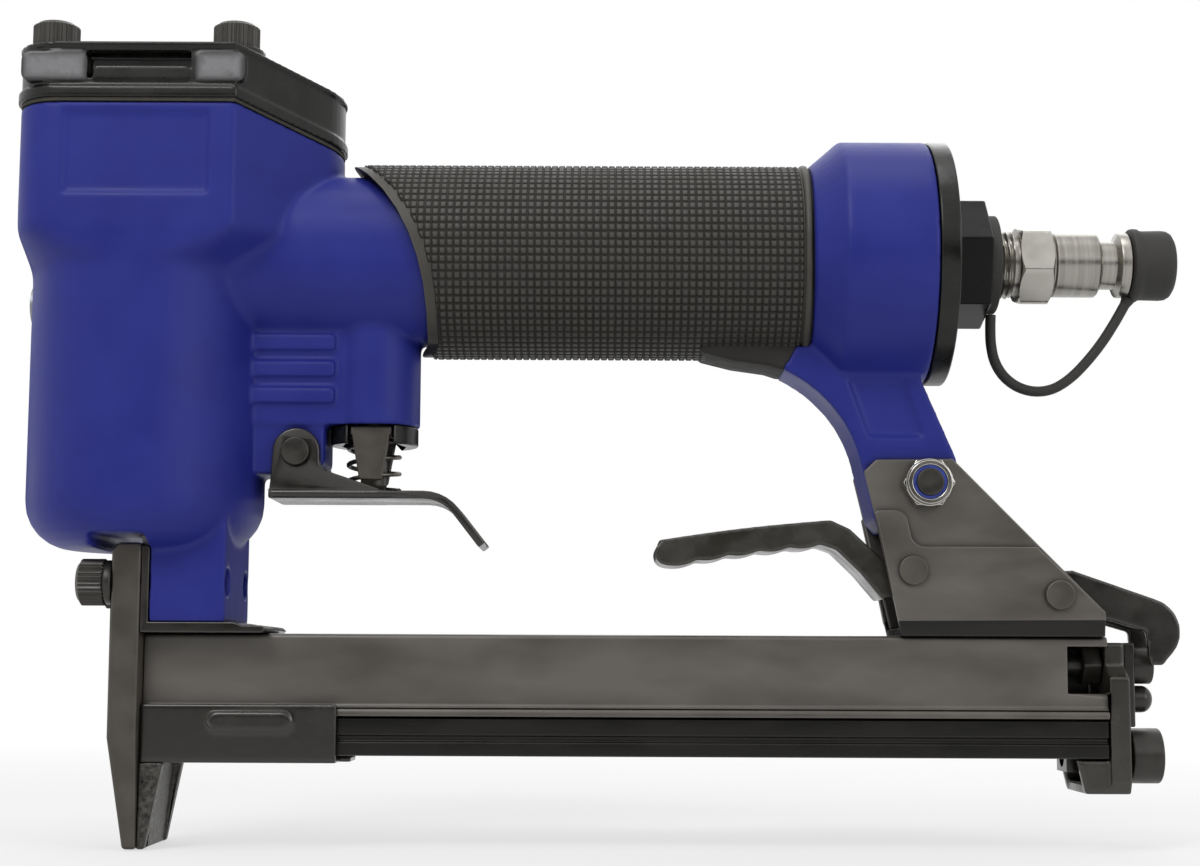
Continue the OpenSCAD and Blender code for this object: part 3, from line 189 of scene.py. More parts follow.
def painted_crease_shade(tree, colour):
    """Painted shade: colour that darkens in corners and seams, where ambient occlusion finds them close."""
    reach_mm = 1.4
    clear = add_node(tree, "AmbientOcclusion", {"Distance": reach_mm * MM}, samples=6).outputs["AO"]
    crease_shade = add_node(tree, "MapRange", {"Value": clear, "From Min": 0.85, "From Max": 0.35,
                                        "To Max": 0.8})
    pair = {"Factor": crease_shade.outputs["Result"], MIX_A: colour, MIX_B: hex_colour("#070605")}
    return add_node(tree, "Mix", pair, data_type="RGBA").outputs[MIX_COLOUR]


def painted_pad_sheen(material, colour):
    """Painted reflection: lightens a material where a mesh's pad attribute is high."""
    tree = material.node_tree
    target = tree.nodes["Principled BSDF"].inputs["Base Color"]
    share = add_node(tree, "Attribute", attribute_name="pad_sheen").outputs["Fac"]
    pair = {"Factor": share, MIX_A: target.links[0].from_socket, MIX_B: hex_colour(colour)}
    patched = add_node(tree, "Mix", pair, data_type="RGBA").outputs[MIX_COLOUR]
    tree.links.new(patched, target)


# Sprayed enamel on a casting: satin, with orange peel about a millimetre across
BLUE_ENAMEL = finish("sprayed_blue_enamel", ("#1f2679", "#262d82"), 14, (0.40, 0.50), 0.9, 0.012,
                     edge_sheen="#3a4092", Specular_IOR_Level=0.22)
# Stove enamel on steel: black with a warm cast, glossy, faint waves where it ran
BLACK_ENAMEL = finish("stove_enamelled_steel", ("#1c1a16", "#23201b"), 7, (0.18, 0.30), 1.4, 0.012,
                      edge_sheen="#6e695f", Specular_IOR_Level=0.6)
# The same enamel painted lighter on the lever and the drawer's end plate, a painted sheen standing in for
# their reflections
LIGHTENED_ENAMEL = finish("lightened_stove_enamel", ("#2a2822", "#322f29"), 6, (0.20, 0.34), 1.4, 0.012,
                        edge_sheen="#6e695f", Specular_IOR_Level=0.6)
# Enamel on a die casting: black and glossy, the casting's grain shows faintly
CAST_ENAMEL = finish("enamelled_die_casting", ("#11120f", "#1c1d1a"), 5, (0.20, 0.32), 0.9, 0.018,
                     edge_sheen="#4c4b49", Specular_IOR_Level=0.3)
# Painted reflection: the cap's pads beside the exhaust are painted lighter, as if mirroring bright
# surroundings
painted_pad_sheen(CAST_ENAMEL, "#7c7c7e")
# Black anodised bushing: deep black with a sharp sheen
BLACK_ANODISED = finish("black_anodised_bushing", ("#080807", "#0f0f0e"), 6, (0.22, 0.30), 0.6, 0.006,
                        edge_sheen="#5c5c5a", Specular_IOR_Level=0.15)
# Rough sand casting, blackened: coarse grains
SAND_CASTING = finish("blackened_sand_casting", ("#0f0e0c", "#4a463e"), 0.9, (0.30, 0.50), 0.6, 0.22,
                      edge_sheen="#5f5a52", Specular_IOR_Level=0.5)
# Cold-rolled steel with a grey phosphate skin: clouds drawn out along the rolling direction
PHOSPHATE_STEEL = finish("phosphated_rolled_steel", ("#4c4843", "#5f5b56"), 9, (0.28, 0.42), 0.6, 0.006,
                         stretch=(0.35, 1, 1), edge_sheen="#938c82", Metallic=0.1, Specular_IOR_Level=0.6)
# Milled steel bar, blackened
BLACKENED_STEEL = finish("blackened_steel_bar", ("#413d37", "#4e4942"), 6, (0.30, 0.42), 0.5, 0.006,
                         edge_sheen="#746e62", Metallic=0.1, Specular_IOR_Level=0.5)
# Drawn steel section, oiled black: darker than the rail above it; the same black on the bracket's foot is
# painted shade
OILED_STEEL_AND_SHADE = finish("oiled_black_section_and_shade", ("#100f0d", "#1b1916"), 6, (0.20, 0.34), 0.6, 0.006,
                     stretch=(0.3, 1, 1), edge_sheen="#6d685e", Specular_IOR_Level=0.28)
# Hardened screws with black oxide: dry and dark
BLACK_OXIDE = finish("black_oxide_screw_steel", ("#201e1a", "#2f2c26"), 3, (0.30, 0.45), 0.5, 0.008,
                     edge_sheen="#575249", Metallic=0.1, Specular_IOR_Level=0.5)
# Zinc plate on turned steel: bright, with lathe lines round it, drawn at a fifth of a millimetre to show
ZINC_PLATE = finish("zinc_plated_steel", ("#8f8c86", "#a3a099"), 1.2, (0.24, 0.34), 0.2, 0.006,
                    stretch=(1, 0.04, 0.04), Metallic=1.0)
# The same plate on drawn hexagon bar, smooth
SMOOTH_ZINC = finish("zinc_plated_hexagon", ("#a9a69f", "#bcb9b2"), 6, (0.18, 0.26), 0.6, 0.004,
                     Metallic=1.0)
# Zinc die casting with a dull grey skin
ZINC_CASTING = finish("zinc_die_casting", ("#8b8e93", "#a3a6aa"), 3, (0.42, 0.55), 0.5, 0.01, Metallic=0.7)
# Drawn aluminium, turned to size
ALUMINIUM = finish("turned_aluminium", ("#c2c2c0", "#d3d3d1"), 6, (0.28, 0.40), 0.3, 0.004, Metallic=1.0)
# Drawn spring wire with a straw film from tempering
SPRING_WIRE = finish("drawn_spring_wire", ("#57534c", "#77736b"), 2, (0.30, 0.45), 0.3, 0.003, Metallic=0.9)
# Moulded nitrile rubber: matt black with a dusty bloom
RUBBER = finish("moulded_nitrile_rubber", ("#1d1c1a", "#2a2926"), 4, (0.60, 0.75), 0.4, 0.012)
# Moulded grip rubber: warm dark grey, drier than the rings
GRIP_RUBBER = finish("moulded_grip_rubber", ("#2e2b26", "#39362f"), 9, (0.45, 0.60), 0.25, 0.010,
                     edge_sheen="#55514a")
# The same rubber painted darker, as painted shade in the grooves between the cells and on the skirt under
# the sleeve
SHADED_GROOVE_RUBBER = finish("groove_rubber_painted_shade", ("#161411", "#201e1a"), 3, (0.70, 0.85), 0.25, 0.010)
# Cast urethane, amber
URETHANE = finish("cast_urethane", ("#84652f", "#9a7a44"), 6, (0.35, 0.45), 0.6, 0.008)
# Pressed fibre gasket
GASKET_FIBRE = finish("pressed_gasket_fibre", ("#34322d", "#454239"), 1.5, (0.80, 0.90), 0.25, 0.02)
# Moulded acetal, ivory
ACETAL = finish("moulded_acetal", ("#cfcabd", "#dad6ca"), 8, (0.38, 0.48), 0.5, 0.006)
# Nylon locking ring, blue
NYLON = finish("nylon_locking_ring", ("#1f2f7d", "#2c3f96"), 2, (0.40, 0.50), 0.4, 0.008)

SLOT_FINISH = {
    "blue_paint": BLUE_ENAMEL, "gasket_paper": GASKET_FIBRE, "black_enamel": BLACK_ENAMEL,
    "black_oxide": BLACK_OXIDE, "insert_metal": ZINC_CASTING, "aluminium": ALUMINIUM, "rubber": RUBBER,
    "grip_rubber": GRIP_RUBBER, "urethane": URETHANE, "bright_steel": ZINC_PLATE,
    "spring_steel": SPRING_WIRE, "white_plastic": ACETAL, "nylon": NYLON,
}

NODE_SLOT = {row["node"]: row["material_slot"] for row in frame["record"]["subparts"]}


# Making pieces
def piece_from(shape, name, crease=35):
    """Object at the origin from a finished bmesh, shaded smooth up to the crease angle in degrees."""
    mesh = bpy.data.meshes.new(name)
    shape.to_mesh(mesh)
    shape.free()
    mesh.shade_smooth()
    mesh.set_sharp_from_angle(angle=math.radians(crease))
    piece = bpy.data.objects.new(name, mesh)
    bpy.context.scene.collection.objects.link(piece)
    return piece


def dress(piece, *nodes, surface=None):
    """Gives a finished piece its material and the place of the CAD nodes that it stands for."""
    slot = NODE_SLOT[nodes[0]]
    piece.data.materials.append(surface or SLOT_FINISH[slot])
    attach(piece, frame["nodes"][nodes[0]]["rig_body"])
    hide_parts(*nodes)
    return piece


def joined_copy(name):
    """Bmesh of a CAD node with its loose triangles joined."""
    shape = bmesh.new()
    shape.from_mesh(frame["nodes"][name].data)
    bmesh.ops.remove_doubles(shape, verts=shape.verts, dist=0.002 * MM)
    return shape


def verts_of(made):
    """Vertices among what a bmesh operator made."""
    return [g for g in made if isinstance(g, bmesh.types.BMVert)]


def rounded(shape, radius, corner=30, choose=None):
    """Rounds the sharp edges of a bmesh, or those that choose picks, to a radius in millimetres."""
    sharp = [e for e in shape.edges if e.is_manifold and e.calc_face_angle() > math.radians(corner)]
    if choose:
        sharp = [e for e in sharp if choose(e)]
    bmesh.ops.bevel(shape, geom=sharp, offset=radius * MM, offset_type="OFFSET", affect="EDGES", segments=3,
                    profile=0.5, material=-1, clamp_overlap=False)


def flat_copy(name):
    """Bmesh of a CAD node whose flat faces are whole."""
    shape = joined_copy(name)
    flat = math.radians(0.4)
    bmesh.ops.dissolve_limit(shape, angle_limit=flat, verts=shape.verts, edges=shape.edges)
    return shape


def softened(name, radius, surface=None, bend=None, choose=None, shape=None):
    """CAD node with its edges rounded to a radius in millimetres, and the chosen ones to a larger bend."""
    shape = shape or flat_copy(name)
    if bend:
        rounded(shape, bend, choose=choose)
    rounded(shape, radius)
    piece = piece_from(shape, name + "_finished")
    piece.modifiers.new("even_shading", "WEIGHTED_NORMAL").keep_sharp = True
    return dress(piece, name, surface=surface)


def applied(piece):
    """Leaves the result of a piece's modifiers as its mesh."""
    graph = bpy.context.evaluated_depsgraph_get()
    mesh = bpy.data.meshes.new_from_object(piece.evaluated_get(graph))
    piece.modifiers.clear()
    piece.data = mesh
    return piece


def cast_skin(name, voxel, rounds, share, shape=None, soft=None):
    """CAD node with the soft corners of a casting: a fine skin, relaxed, then thinned to a share.

    soft gives the weight of a second, longer relaxing at a point in millimetres.
    """
    piece = piece_from(shape or joined_copy(name), name + "_finished")
    skin = piece.modifiers.new("skin", "REMESH")
    skin.mode = "VOXEL"
    skin.voxel_size = voxel * MM
    relax = piece.modifiers.new("relax", "SMOOTH")
    relax.factor = 0.5
    relax.iterations = rounds
    if soft:
        applied(piece)
        group = piece.vertex_groups.new(name="soft")
        for vert in piece.data.vertices:
            group.add([vert.index], soft(vert.co / MM), "REPLACE")
        ease = piece.modifiers.new("ease", "SMOOTH")
        ease.factor = 0.5
        ease.iterations = 36
        ease.vertex_group = group.name
    thin = piece.modifiers.new("thin", "DECIMATE")
    thin.ratio = share
    applied(piece)
    piece.data.shade_smooth()
    return piece


def stacked_rings(count, rings):
    """Bmesh about Z whose rings are joined in turn; each ring gives (radius, height) in mm at an angle."""
    shape = bmesh.new()
    verts = bmesh.ops.create_circle(shape, segments=count, radius=1)["verts"]
    edges = shape.edges[:]
    angles = {v: math.atan2(v.co.y, v.co.x) for v in verts}
    for k, ring in enumerate(rings):
        if k:
            made = bmesh.ops.extrude_edge_only(shape, edges=edges)["geom"]
            fresh = verts_of(made)
            angles = {v: math.atan2(v.co.y, v.co.x) for v in fresh}
            edges = [g for g in made if isinstance(g, bmesh.types.BMEdge) and set(g.verts) <= set(fresh)]
        for vert, angle in angles.items():
            radius, height = ring(angle)
            radius = max(radius, 1e-3)
            vert.co = Vector((radius * math.cos(angle), radius * math.sin(angle), height)) * MM
    bmesh.ops.remove_doubles(shape, verts=shape.verts, dist=0.005 * MM)
    bmesh.ops.recalc_face_normals(shape, faces=shape.faces)
    return shape


def gathered(parts):
    """One bmesh from (bmesh, placement) pairs, which frees the parts."""
    whole = bmesh.new()
    for part, place in parts:
        mesh = bpy.data.meshes.new("part")
        part.to_mesh(mesh)
        mesh.transform(place)
        whole.from_mesh(mesh)
        bpy.data.meshes.remove(mesh)
    for part in {part for part, place in parts}:
        part.free()
    return whole


def level(radius, height):
    """Plain round ring for stacked_rings."""
    return lambda angle: (radius, height)


def hexagon(across, angle):
    """Radius of a hexagon of this width across flats at an angle."""
    sector = TURN / 6
    return across / 2 / math.cos((angle + sector / 2) % sector - sector / 2)


def along(point, axis):
    """Placement that turns Z to an axis and moves it to a point in metres."""
    return Matrix.Translation(point) @ Vector(axis).to_track_quat("Z", "Y").to_matrix().to_4x4()


def tube_mesh(path, radius, name, loop=False):
    """Mesh tube along points in metres, a loop or with closed ends; radius in millimetres."""
    curve = bpy.data.curves.new(name, "CURVE")
    curve.dimensions = "3D"
    curve.bevel_depth = radius * MM
    curve.bevel_resolution = 3
    curve.use_fill_caps = True
    spline = curve.splines.new("POLY")
    spline.points.add(len(path) - 1)
    spline.use_cyclic_u = loop
    for point, place in zip(spline.points, path):
        point.co = (*place, 1)
    holder = bpy.data.objects.new(name, curve)
    bpy.context.scene.collection.objects.link(holder)
    mesh = bpy.data.meshes.new_from_object(holder.evaluated_get(bpy.context.evaluated_depsgraph_get()))
    bpy.data.objects.remove(holder)
    mesh.shade_smooth()
    piece = bpy.data.objects.new(name, mesh)
    bpy.context.scene.collection.objects.link(piece)
    return piece


def smooth_route(points, steps):
    """Points of a smooth curve through the given ones."""
    route = []
    for i in range(len(points) - 1):
        before = points[max(i - 1, 0)]
        after = points[min(i + 2, len(points) - 1)]
        start, end = points[i], points[i + 1]
        for k in range(steps):
            t = k / steps
            route.append(0.5 * (2 * start + (end - before) * t
                                + (2 * before - 5 * start + 4 * end - after) * t ** 2
                                + (3 * start - before - 3 * end + after) * t ** 3))
    return route + [points[-1]]


# Strap of the dust cap, moulded rubber, from the ring on the inlet to the cap
STRAP_ROUTE_MM = [
    (158.9, 0, 100.3), (158.8, 0, 97.6), (158.9, 0, 94.4), (159.6, 0, 91.2), (161.3, 0, 88.4),
    (164, 0, 86.4), (167.3, 0, 85.6), (170.7, 0, 86.2), (174, 0, 88.3), (177.1, 0, 91.4),
    (180, 0, 95), (182.5, 0, 98.8), (184.6, 0, 102.4),
]
STRAP_RADIUS = 1.0


def dust_cap_strap():
    """Moulded strap along its route from the ring on the inlet to the cap."""
    route = smooth_route([Vector(p) * MM for p in STRAP_ROUTE_MM], 6)
    strap = tube_mesh(route, STRAP_RADIUS, "dust_cap_strap_moulded")
    strap.data.materials.append(RUBBER)
    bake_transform(strap)
    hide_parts("dust_cap_strap")


dust_cap_strap()


# Front edge of the casting's rear arm as (x, z) in millimetres, from the grip's end to the bracket
ARM_EDGE = [
    (121.6, 94.6), (119.8, 90.8), (118.2, 88.5), (121.4, 87.0), (124.8, 84.1), (127.8, 80.4),
    (130, 76.1), (131.4, 71.4),
]
# Block that hollows the arm up to that edge
HOLLOW_X = 100
HOLLOW_HALF_W = 40
# Where the flare under the head is eased
FLARE_TOP_Z = 116.5
FLARE_FOOT_Z = 95
NECK_ROOT_X = 46


def prism(outline, half_w):
    """Bmesh of an outline in X and Z, in millimetres, that runs across Y."""
    shape = bmesh.new()
    face = shape.faces.new([shape.verts.new(Vector((x, -half_w, z)) * MM) for x, z in outline])
    far = bmesh.ops.extrude_face_region(shape, geom=[face])["geom"]
    bmesh.ops.translate(shape, vec=(0, 2 * half_w * MM, 0), verts=verts_of(far))
    bmesh.ops.recalc_face_normals(shape, faces=shape.faces)
    return shape


def flare_weight(point):
    """One on the flare below the head and the neck's root, none at the plate, the ribs and the grip."""
    fades = ((FLARE_TOP_Z - point.z) / 3, (point.z - FLARE_FOOT_Z) / 4, (NECK_ROOT_X - point.x) / 4)
    return max(0, min(1, *fades))


def body_casting():
    """Cast body with soft corners, its arm hollowed to the curve that starts at the grip's end."""
    outline = ARM_EDGE + [(HOLLOW_X, ARM_EDGE[-1][1]), (HOLLOW_X, ARM_EDGE[0][1])]
    hollow = piece_from(prism(outline, HOLLOW_HALF_W), "arm_hollow")
    piece = piece_from(joined_copy("body_casting"), "arm_cut")
    carve = piece.modifiers.new("carve", "BOOLEAN")
    carve.object = hollow
    carve.solver = "EXACT"
    applied(piece)
    shape = bmesh.new()
    shape.from_mesh(piece.data)
    for spare in (piece, hollow):
        bpy.data.objects.remove(spare)
    casting = cast_skin("body_casting", 0.5, 6, 0.32, shape, flare_weight)
    dress(casting, "body_casting")


# Cylinder cap: its foot, its height, half its width, its exhaust slot and the pads beside that slot
CAP_Z = 136
CAP_H = 10.4
CAP_SIDE = 22.5
EXHAUST_X = 0.2
EXHAUST_LEN = 19
PAD_FRONT_X = -21.8
PAD_REAR_X = 19.2
PAD_GAP = 0.3


def cap_band(low, high, overhang):
    """Band round the cap between two heights above its foot, standing out past the gasket's outline."""
    shape = joined_copy("cap_gasket")
    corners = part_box("cap_gasket")
    centre = (corners[0] + corners[1]) / 2
    size = corners[1] - corners[0]
    thickness = CAP_Z * MM - max(v.co.z for v in shape.verts if abs(v.normal.z) < 0.99 and v.normal.z < 0)
    for vert in shape.verts:
        vert.co.z += high * MM if vert.normal.z > 0 else thickness + low * MM
        for i in range(2):
            vert.co[i] += (vert.co[i] - centre[i]) / size[i] * 2 * overhang * MM
    return shape


def block(low, high, corner):
    """Block between two corners in millimetres, with round edges along Y."""
    shape = bmesh.new()
    bmesh.ops.create_cube(shape, size=1)
    low, high = Vector(low) * MM, Vector(high) * MM
    for vert in shape.verts:
        vert.co = Vector([low[i] + (vert.co[i] + 0.5) * (high[i] - low[i]) for i in range(3)])
    edges = [e for e in shape.edges if abs((e.verts[0].co - e.verts[1].co).y) > 0.5 * (high - low).y]
    bmesh.ops.bevel(shape, geom=edges, offset=corner * MM, offset_type="OFFSET", affect="EDGES", segments=3,
                    profile=0.5, material=-1)
    return shape


def cylinder_cap():
    """Die-cast cap: thin top lip, thick foot band, pads beside the exhaust and a lip in its slot."""
    pad_low = CAP_Z + 3.0
    pad_high = CAP_Z + CAP_H - 1.7
    slot_left = EXHAUST_X - EXHAUST_LEN / 2
    slot_right = EXHAUST_X + EXHAUST_LEN / 2
    pads = ((PAD_FRONT_X, slot_left - PAD_GAP), (slot_right + PAD_GAP, PAD_REAR_X))
    parts = [joined_copy("cylinder_cap"), cap_band(0, 2.1, 0.5), cap_band(CAP_H - 0.8, CAP_H, 0.35)]
    for side in (-1, 1):
        near, far = sorted((side * (CAP_SIDE + 0.18), side * (CAP_SIDE - 3.5)))
        for front, rear in pads:
            parts.append(block((front, near, pad_low), (rear, far, pad_high), 1.6))
        parts.append(block((slot_left + 0.7, near, CAP_Z + 3.3), (slot_right - 0.7, far, CAP_Z + 6.0), 0.8))
    whole = gathered([(part, Matrix()) for part in parts])
    cap = dress(cast_skin("cylinder_cap", 0.3, 3, 0.4, whole), "cylinder_cap", surface=CAST_ENAMEL)
    # Painted reflection: share of the lighter colour at each point, full inside the pads and fading over
    # 1.4 mm from their edges
    pad_sheen = cap.data.attributes.new("pad_sheen", "FLOAT", "POINT")
    for vert, patch in zip(cap.data.vertices, pad_sheen.data):
        spot = vert.co / MM
        depth = max(min(spot.x - front, rear - spot.x) for front, rear in pads)
        inside = min(depth, spot.z - pad_low, pad_high - spot.z, 4 * (abs(spot.y) - CAP_SIDE + 0.3))
        patch.value = max(0, min(1, inside / 1.4))


body_casting()
cylinder_cap()


# Screws with knurled socket heads, in millimetres
HEAD_RADIUS = 4.3
HEAD_HEIGHT = 5.0
SOCKET_AF = 4.0
RIDGES = 30


def socket_head():
    """Socket head on z = 0 with a knurled rim."""
    def rim(inset, height):
        return lambda angle: (HEAD_RADIUS - inset - 0.14 * (1 + math.cos(RIDGES * angle)), height)

    def socket(height, spread=0.0):
        return lambda angle: (hexagon(SOCKET_AF, angle) + spread, height)

    return stacked_rings(RIDGES * 5, [
        level(0, 0), rim(0.3, 0), rim(0, 0.3), rim(0, HEAD_HEIGHT - 0.6),
        level(HEAD_RADIUS - 0.5, HEAD_HEIGHT - 0.4), level(HEAD_RADIUS - 0.9, HEAD_HEIGHT),
        socket(HEAD_HEIGHT, 0.25), socket(HEAD_HEIGHT - 0.3), socket(HEAD_HEIGHT - 2.6),
        level(0, HEAD_HEIGHT - 3.0)])


def knurled_screws(name, axis):
    """Screws of a CAD group, one at each corner of the group's box across the axis."""
    low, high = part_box(name)
    normal = Vector(axis)
    top = Vector([high[i] if normal[i] > 0 else low[i] for i in range(3)])
    reach = HEAD_RADIUS * MM
    across = [i for i in range(3) if not normal[i]]
    spots = []
    for corner in ((0, 0), (0, 1), (1, 0), (1, 1)):
        spot = top - normal * HEAD_HEIGHT * MM
        for i, end in zip(across, corner):
            spot[i] = high[i] - reach if end else low[i] + reach
        spots.append(spot)
    different = {tuple(round(c, 5) for c in s): s for s in spots}
    head = socket_head()
    screws = gathered([(head, along(s, axis)) for s in different.values()])
    dress(piece_from(screws, name + "_finished"), name)


knurled_screws("cap_screws", (0, 0, 1))
knurled_screws("nose_screws", (-1, 0, 0))


# Cells of the grip and the plain band at its ends, in millimetres
CELL_LENGTH = 1.36
CELL_WIDTH = 1.49
CELL_GROOVE = 0.36
CELL_HEIGHT = 0.34
CELL_CROWN = 0.07
GRIP_BAND = 1.9

# Section of the grip, flat at the sides and round above and below, in metres
GRIP_LOW, GRIP_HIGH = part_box("grip_sleeve")
GRIP_MIDDLE = (GRIP_LOW + GRIP_HIGH) / 2
GRIP_HALF_W = (GRIP_HIGH.y - GRIP_LOW.y) / 2
GRIP_FLAT = (GRIP_HIGH.z - GRIP_LOW.z) / 2 - GRIP_HALF_W
GRIP_SIDE = 2 * GRIP_FLAT
GRIP_BEND = math.pi * GRIP_HALF_W


def section_point(share):
    """Point and outward normal, as (y, z) from the middle, at a share of the way round the section."""
    rest = share * 2 * (GRIP_SIDE + GRIP_BEND)
    for sign in (-1, 1):
        if rest <= GRIP_SIDE:
            return (sign * GRIP_HALF_W, -sign * (rest - GRIP_FLAT)), (sign, 0)
        rest -= GRIP_SIDE
        if rest <= GRIP_BEND:
            angle = rest / GRIP_HALF_W
            normal = (sign * math.cos(angle), -sign * math.sin(angle))
            return (GRIP_HALF_W * normal[0], -sign * GRIP_FLAT + GRIP_HALF_W * normal[1]), normal
        rest -= GRIP_BEND
    return (-GRIP_HALF_W, -GRIP_FLAT), (-1, 0)


def grip_cells(sleeve):
    """Sheet of raised cells over the sleeve, cut along a plain band at its ends."""
    length = GRIP_HIGH.x - GRIP_LOW.x
    columns = round(length / (CELL_LENGTH * MM))
    rows = round(2 * (GRIP_SIDE + GRIP_BEND) / (CELL_WIDTH * MM))
    surface = BVHTree.FromBMesh(sleeve)

    def outward(point):
        height = point.z - GRIP_MIDDLE.z
        core = max(min(height, GRIP_FLAT), -GRIP_FLAT)
        return Vector((0, point.y, height - core)).normalized()

    def end_of_sleeve(point, step):
        """Last X at which the sleeve still lies under a line of cells, going one way from the middle."""
        out = outward(point)
        spot = Vector((GRIP_MIDDLE.x, point.y, point.z)) + out * MM
        while surface.ray_cast(spot, -out, 1.5 * MM)[0] is not None:
            spot.x += step * MM
        return spot.x

    cells = bmesh.new()
    bmesh.ops.create_grid(cells, x_segments=columns, y_segments=rows, size=0.5)
    ends = {}
    for vert in cells.verts:
        line = round(vert.co.y, 5)
        y, z = section_point(vert.co.y + 0.5)[0]
        vert.co = Vector((GRIP_LOW.x + (vert.co.x + 0.5) * length, y, GRIP_MIDDLE.z + z))
        if line not in ends:
            ends[line] = [end_of_sleeve(vert.co, step) - math.copysign(GRIP_BAND * MM, step)
                          for step in (-0.2, 0.2)]
        vert.co.x = max(ends[line][0], min(ends[line][1], vert.co.x))
    bmesh.ops.remove_doubles(cells, verts=cells.verts, dist=0.01 * MM)
    least = 0.4 * CELL_LENGTH * CELL_WIDTH * MM * MM
    bmesh.ops.delete(cells, geom=[f for f in cells.faces if f.calc_area() < least], context="FACES")
    for face in cells.faces:
        if face.normal.dot(outward(face.calc_center_median())) < 0:
            face.normal_flip()
    tops = cells.faces[:]
    for inset, lift in ((CELL_GROOVE / 2, CELL_HEIGHT), (CELL_GROOVE / 3, CELL_CROWN)):
        bmesh.ops.inset_individual(cells, faces=tops, thickness=inset * MM, depth=lift * MM,
                                   use_even_offset=True)
    # Painted shade: the grooves and the cells' sides take the second, darker rubber
    for face in set(cells.faces) - set(tops):
        face.material_index = 1
    rim = bmesh.ops.extrude_edge_only(cells, edges=[e for e in cells.edges if e.is_boundary])["geom"]
    for vert in verts_of(rim):
        vert.co -= outward(vert.co) * 0.5 * MM
    return cells


# Skirt under the sleeve's rear end as (x, z) in millimetres
GRIP_SKIRT = [
    (103, 94), (103, 91.9), (109.4, 90.3), (115.8, 89.4), (118.9, 88.4), (120.5, 90.7), (122.4, 94),
]
SKIRT_HALF_W = 7.2
BEAD_LENGTH = 1.7
BEAD_HEIGHT = 0.75


def end_bead():
    """Rolled rim round the rear end of the sleeve."""
    shape = bmesh.new()
    bmesh.ops.create_grid(shape, x_segments=6, y_segments=90, size=0.5)
    for vert in shape.verts:
        point, normal = section_point(vert.co.y + 0.5)
        swell = (BEAD_HEIGHT * math.sqrt(max(0, 1 - (2 * vert.co.x) ** 2)) - 0.1) * MM
        y, z = [c + n * swell for c, n in zip(point, normal)]
        vert.co = Vector((GRIP_HIGH.x + (vert.co.x - 0.5) * BEAD_LENGTH * MM, y, GRIP_MIDDLE.z + z))
    bmesh.ops.remove_doubles(shape, verts=shape.verts, dist=0.01 * MM)
    bmesh.ops.recalc_face_normals(shape, faces=shape.faces)
    return shape


def grip():
    """Rubber sleeve with its cells, its rolled rear rim and the skirt that runs down onto the arm."""
    sleeve = joined_copy("grip_sleeve")
    skirt = prism(GRIP_SKIRT, SKIRT_HALF_W)
    rounded(skirt, 0.9)
    # Painted shade: the skirt under the sleeve takes the darker groove rubber
    for face in skirt.faces:
        face.material_index = 1
    parts = [sleeve, grip_cells(sleeve), end_bead(), skirt]
    whole = gathered([(part, Matrix()) for part in parts])
    piece = dress(piece_from(whole, "grip_sleeve_finished", 50), "grip_sleeve")
    piece.data.materials.append(SHADED_GROOVE_RUBBER)


grip()


# Air inlet
def hex_stack(across, length, start=0.0, turn=0.0):
    """Rings of a hexagon bar whose ends are chamfered as on a nut, turned by an angle."""
    land = across / 2 - 0.1
    slope = math.tan(math.radians(30))

    def end(height):
        return lambda angle: (min(hexagon(across, angle + turn), land), height)

    def body(height, sign):
        def place(angle):
            reach = hexagon(across, angle + turn)
            return (reach, height + sign * slope * (reach - land))

        return place

    return [end(start), body(start, 1), body(start + length, -1), end(start + length)]


def thread_stack(radius, start, turns, pitch, depth):
    """Rings of a screw thread that climbs one pitch a turn."""
    steps = 6

    def ring(k):
        def place(angle):
            height = start + pitch * k / steps
            phase = (k / steps - angle / TURN) % 1
            return (radius - depth * abs(2 * phase - 1), height)
        return place

    return [ring(k) for k in range(turns * steps + 1)]


# Steps of the plug behind the inlet ring, in millimetres
PLUG_HEX_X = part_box("inlet_ring")[1].x / MM + 3.9
PLUG_HEX_END = PLUG_HEX_X + 6.4
NIPPLE_END = PLUG_HEX_END + 9
GROOVE_END = NIPPLE_END + 4
COLLAR_END = GROOVE_END + 2
PLUG_THREAD = 1.0
# Turn of the hexagon as the plug was left when screwed in
PLUG_TURN = math.radians(13)


def air_plug():
    """Zinc-plated plug: thread, hexagon, nipple with a locking groove, and a hollow tip."""
    low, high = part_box("air_plug")
    middle = Vector((0, 0, (low.z + high.z) / 2))
    start = low.x / MM
    end = high.x / MM
    thread = 6.55
    neck = 5.7
    hexagon_w = 14.0
    nipple = 6.1
    tip = 5.3
    bore = 3.4
    turns = int((PLUG_HEX_X - 0.5 - start) / PLUG_THREAD)
    rings = thread_stack(thread, start, turns, PLUG_THREAD, 0.55)
    rings += [level(neck, start + turns * PLUG_THREAD + 0.2), level(neck, PLUG_HEX_X)]
    rings += hex_stack(hexagon_w, PLUG_HEX_END - PLUG_HEX_X, PLUG_HEX_X, PLUG_TURN)
    rings += [
        level(nipple - 0.5, PLUG_HEX_END), level(nipple - 0.5, PLUG_HEX_END + 0.5),
        level(nipple, PLUG_HEX_END + 0.8), level(nipple, NIPPLE_END - 0.3),
        level(nipple - 0.3, NIPPLE_END), level(nipple - 1.5, NIPPLE_END + 0.6),
        level(nipple - 1.5, GROOVE_END - 0.7), level(nipple, GROOVE_END),
        level(nipple + 0.1, GROOVE_END + 0.3), level(nipple + 0.1, COLLAR_END - 0.3),
        level(nipple - 0.2, COLLAR_END), level(tip, COLLAR_END), level(tip, end - 0.6),
        level(tip - 0.6, end), level(bore, end), level(bore, start), rings[0]]
    shape = stacked_rings(96, rings)
    bmesh.ops.transform(shape, matrix=along(middle, (1, 0, 0)), verts=shape.verts)
    plug = dress(piece_from(shape, "air_plug_finished"), "air_plug")
    plug.data.materials.append(SMOOTH_ZINC)
    for face in plug.data.polygons:
        if PLUG_HEX_X < face.center.x / MM < PLUG_HEX_END:
            face.material_index = 1


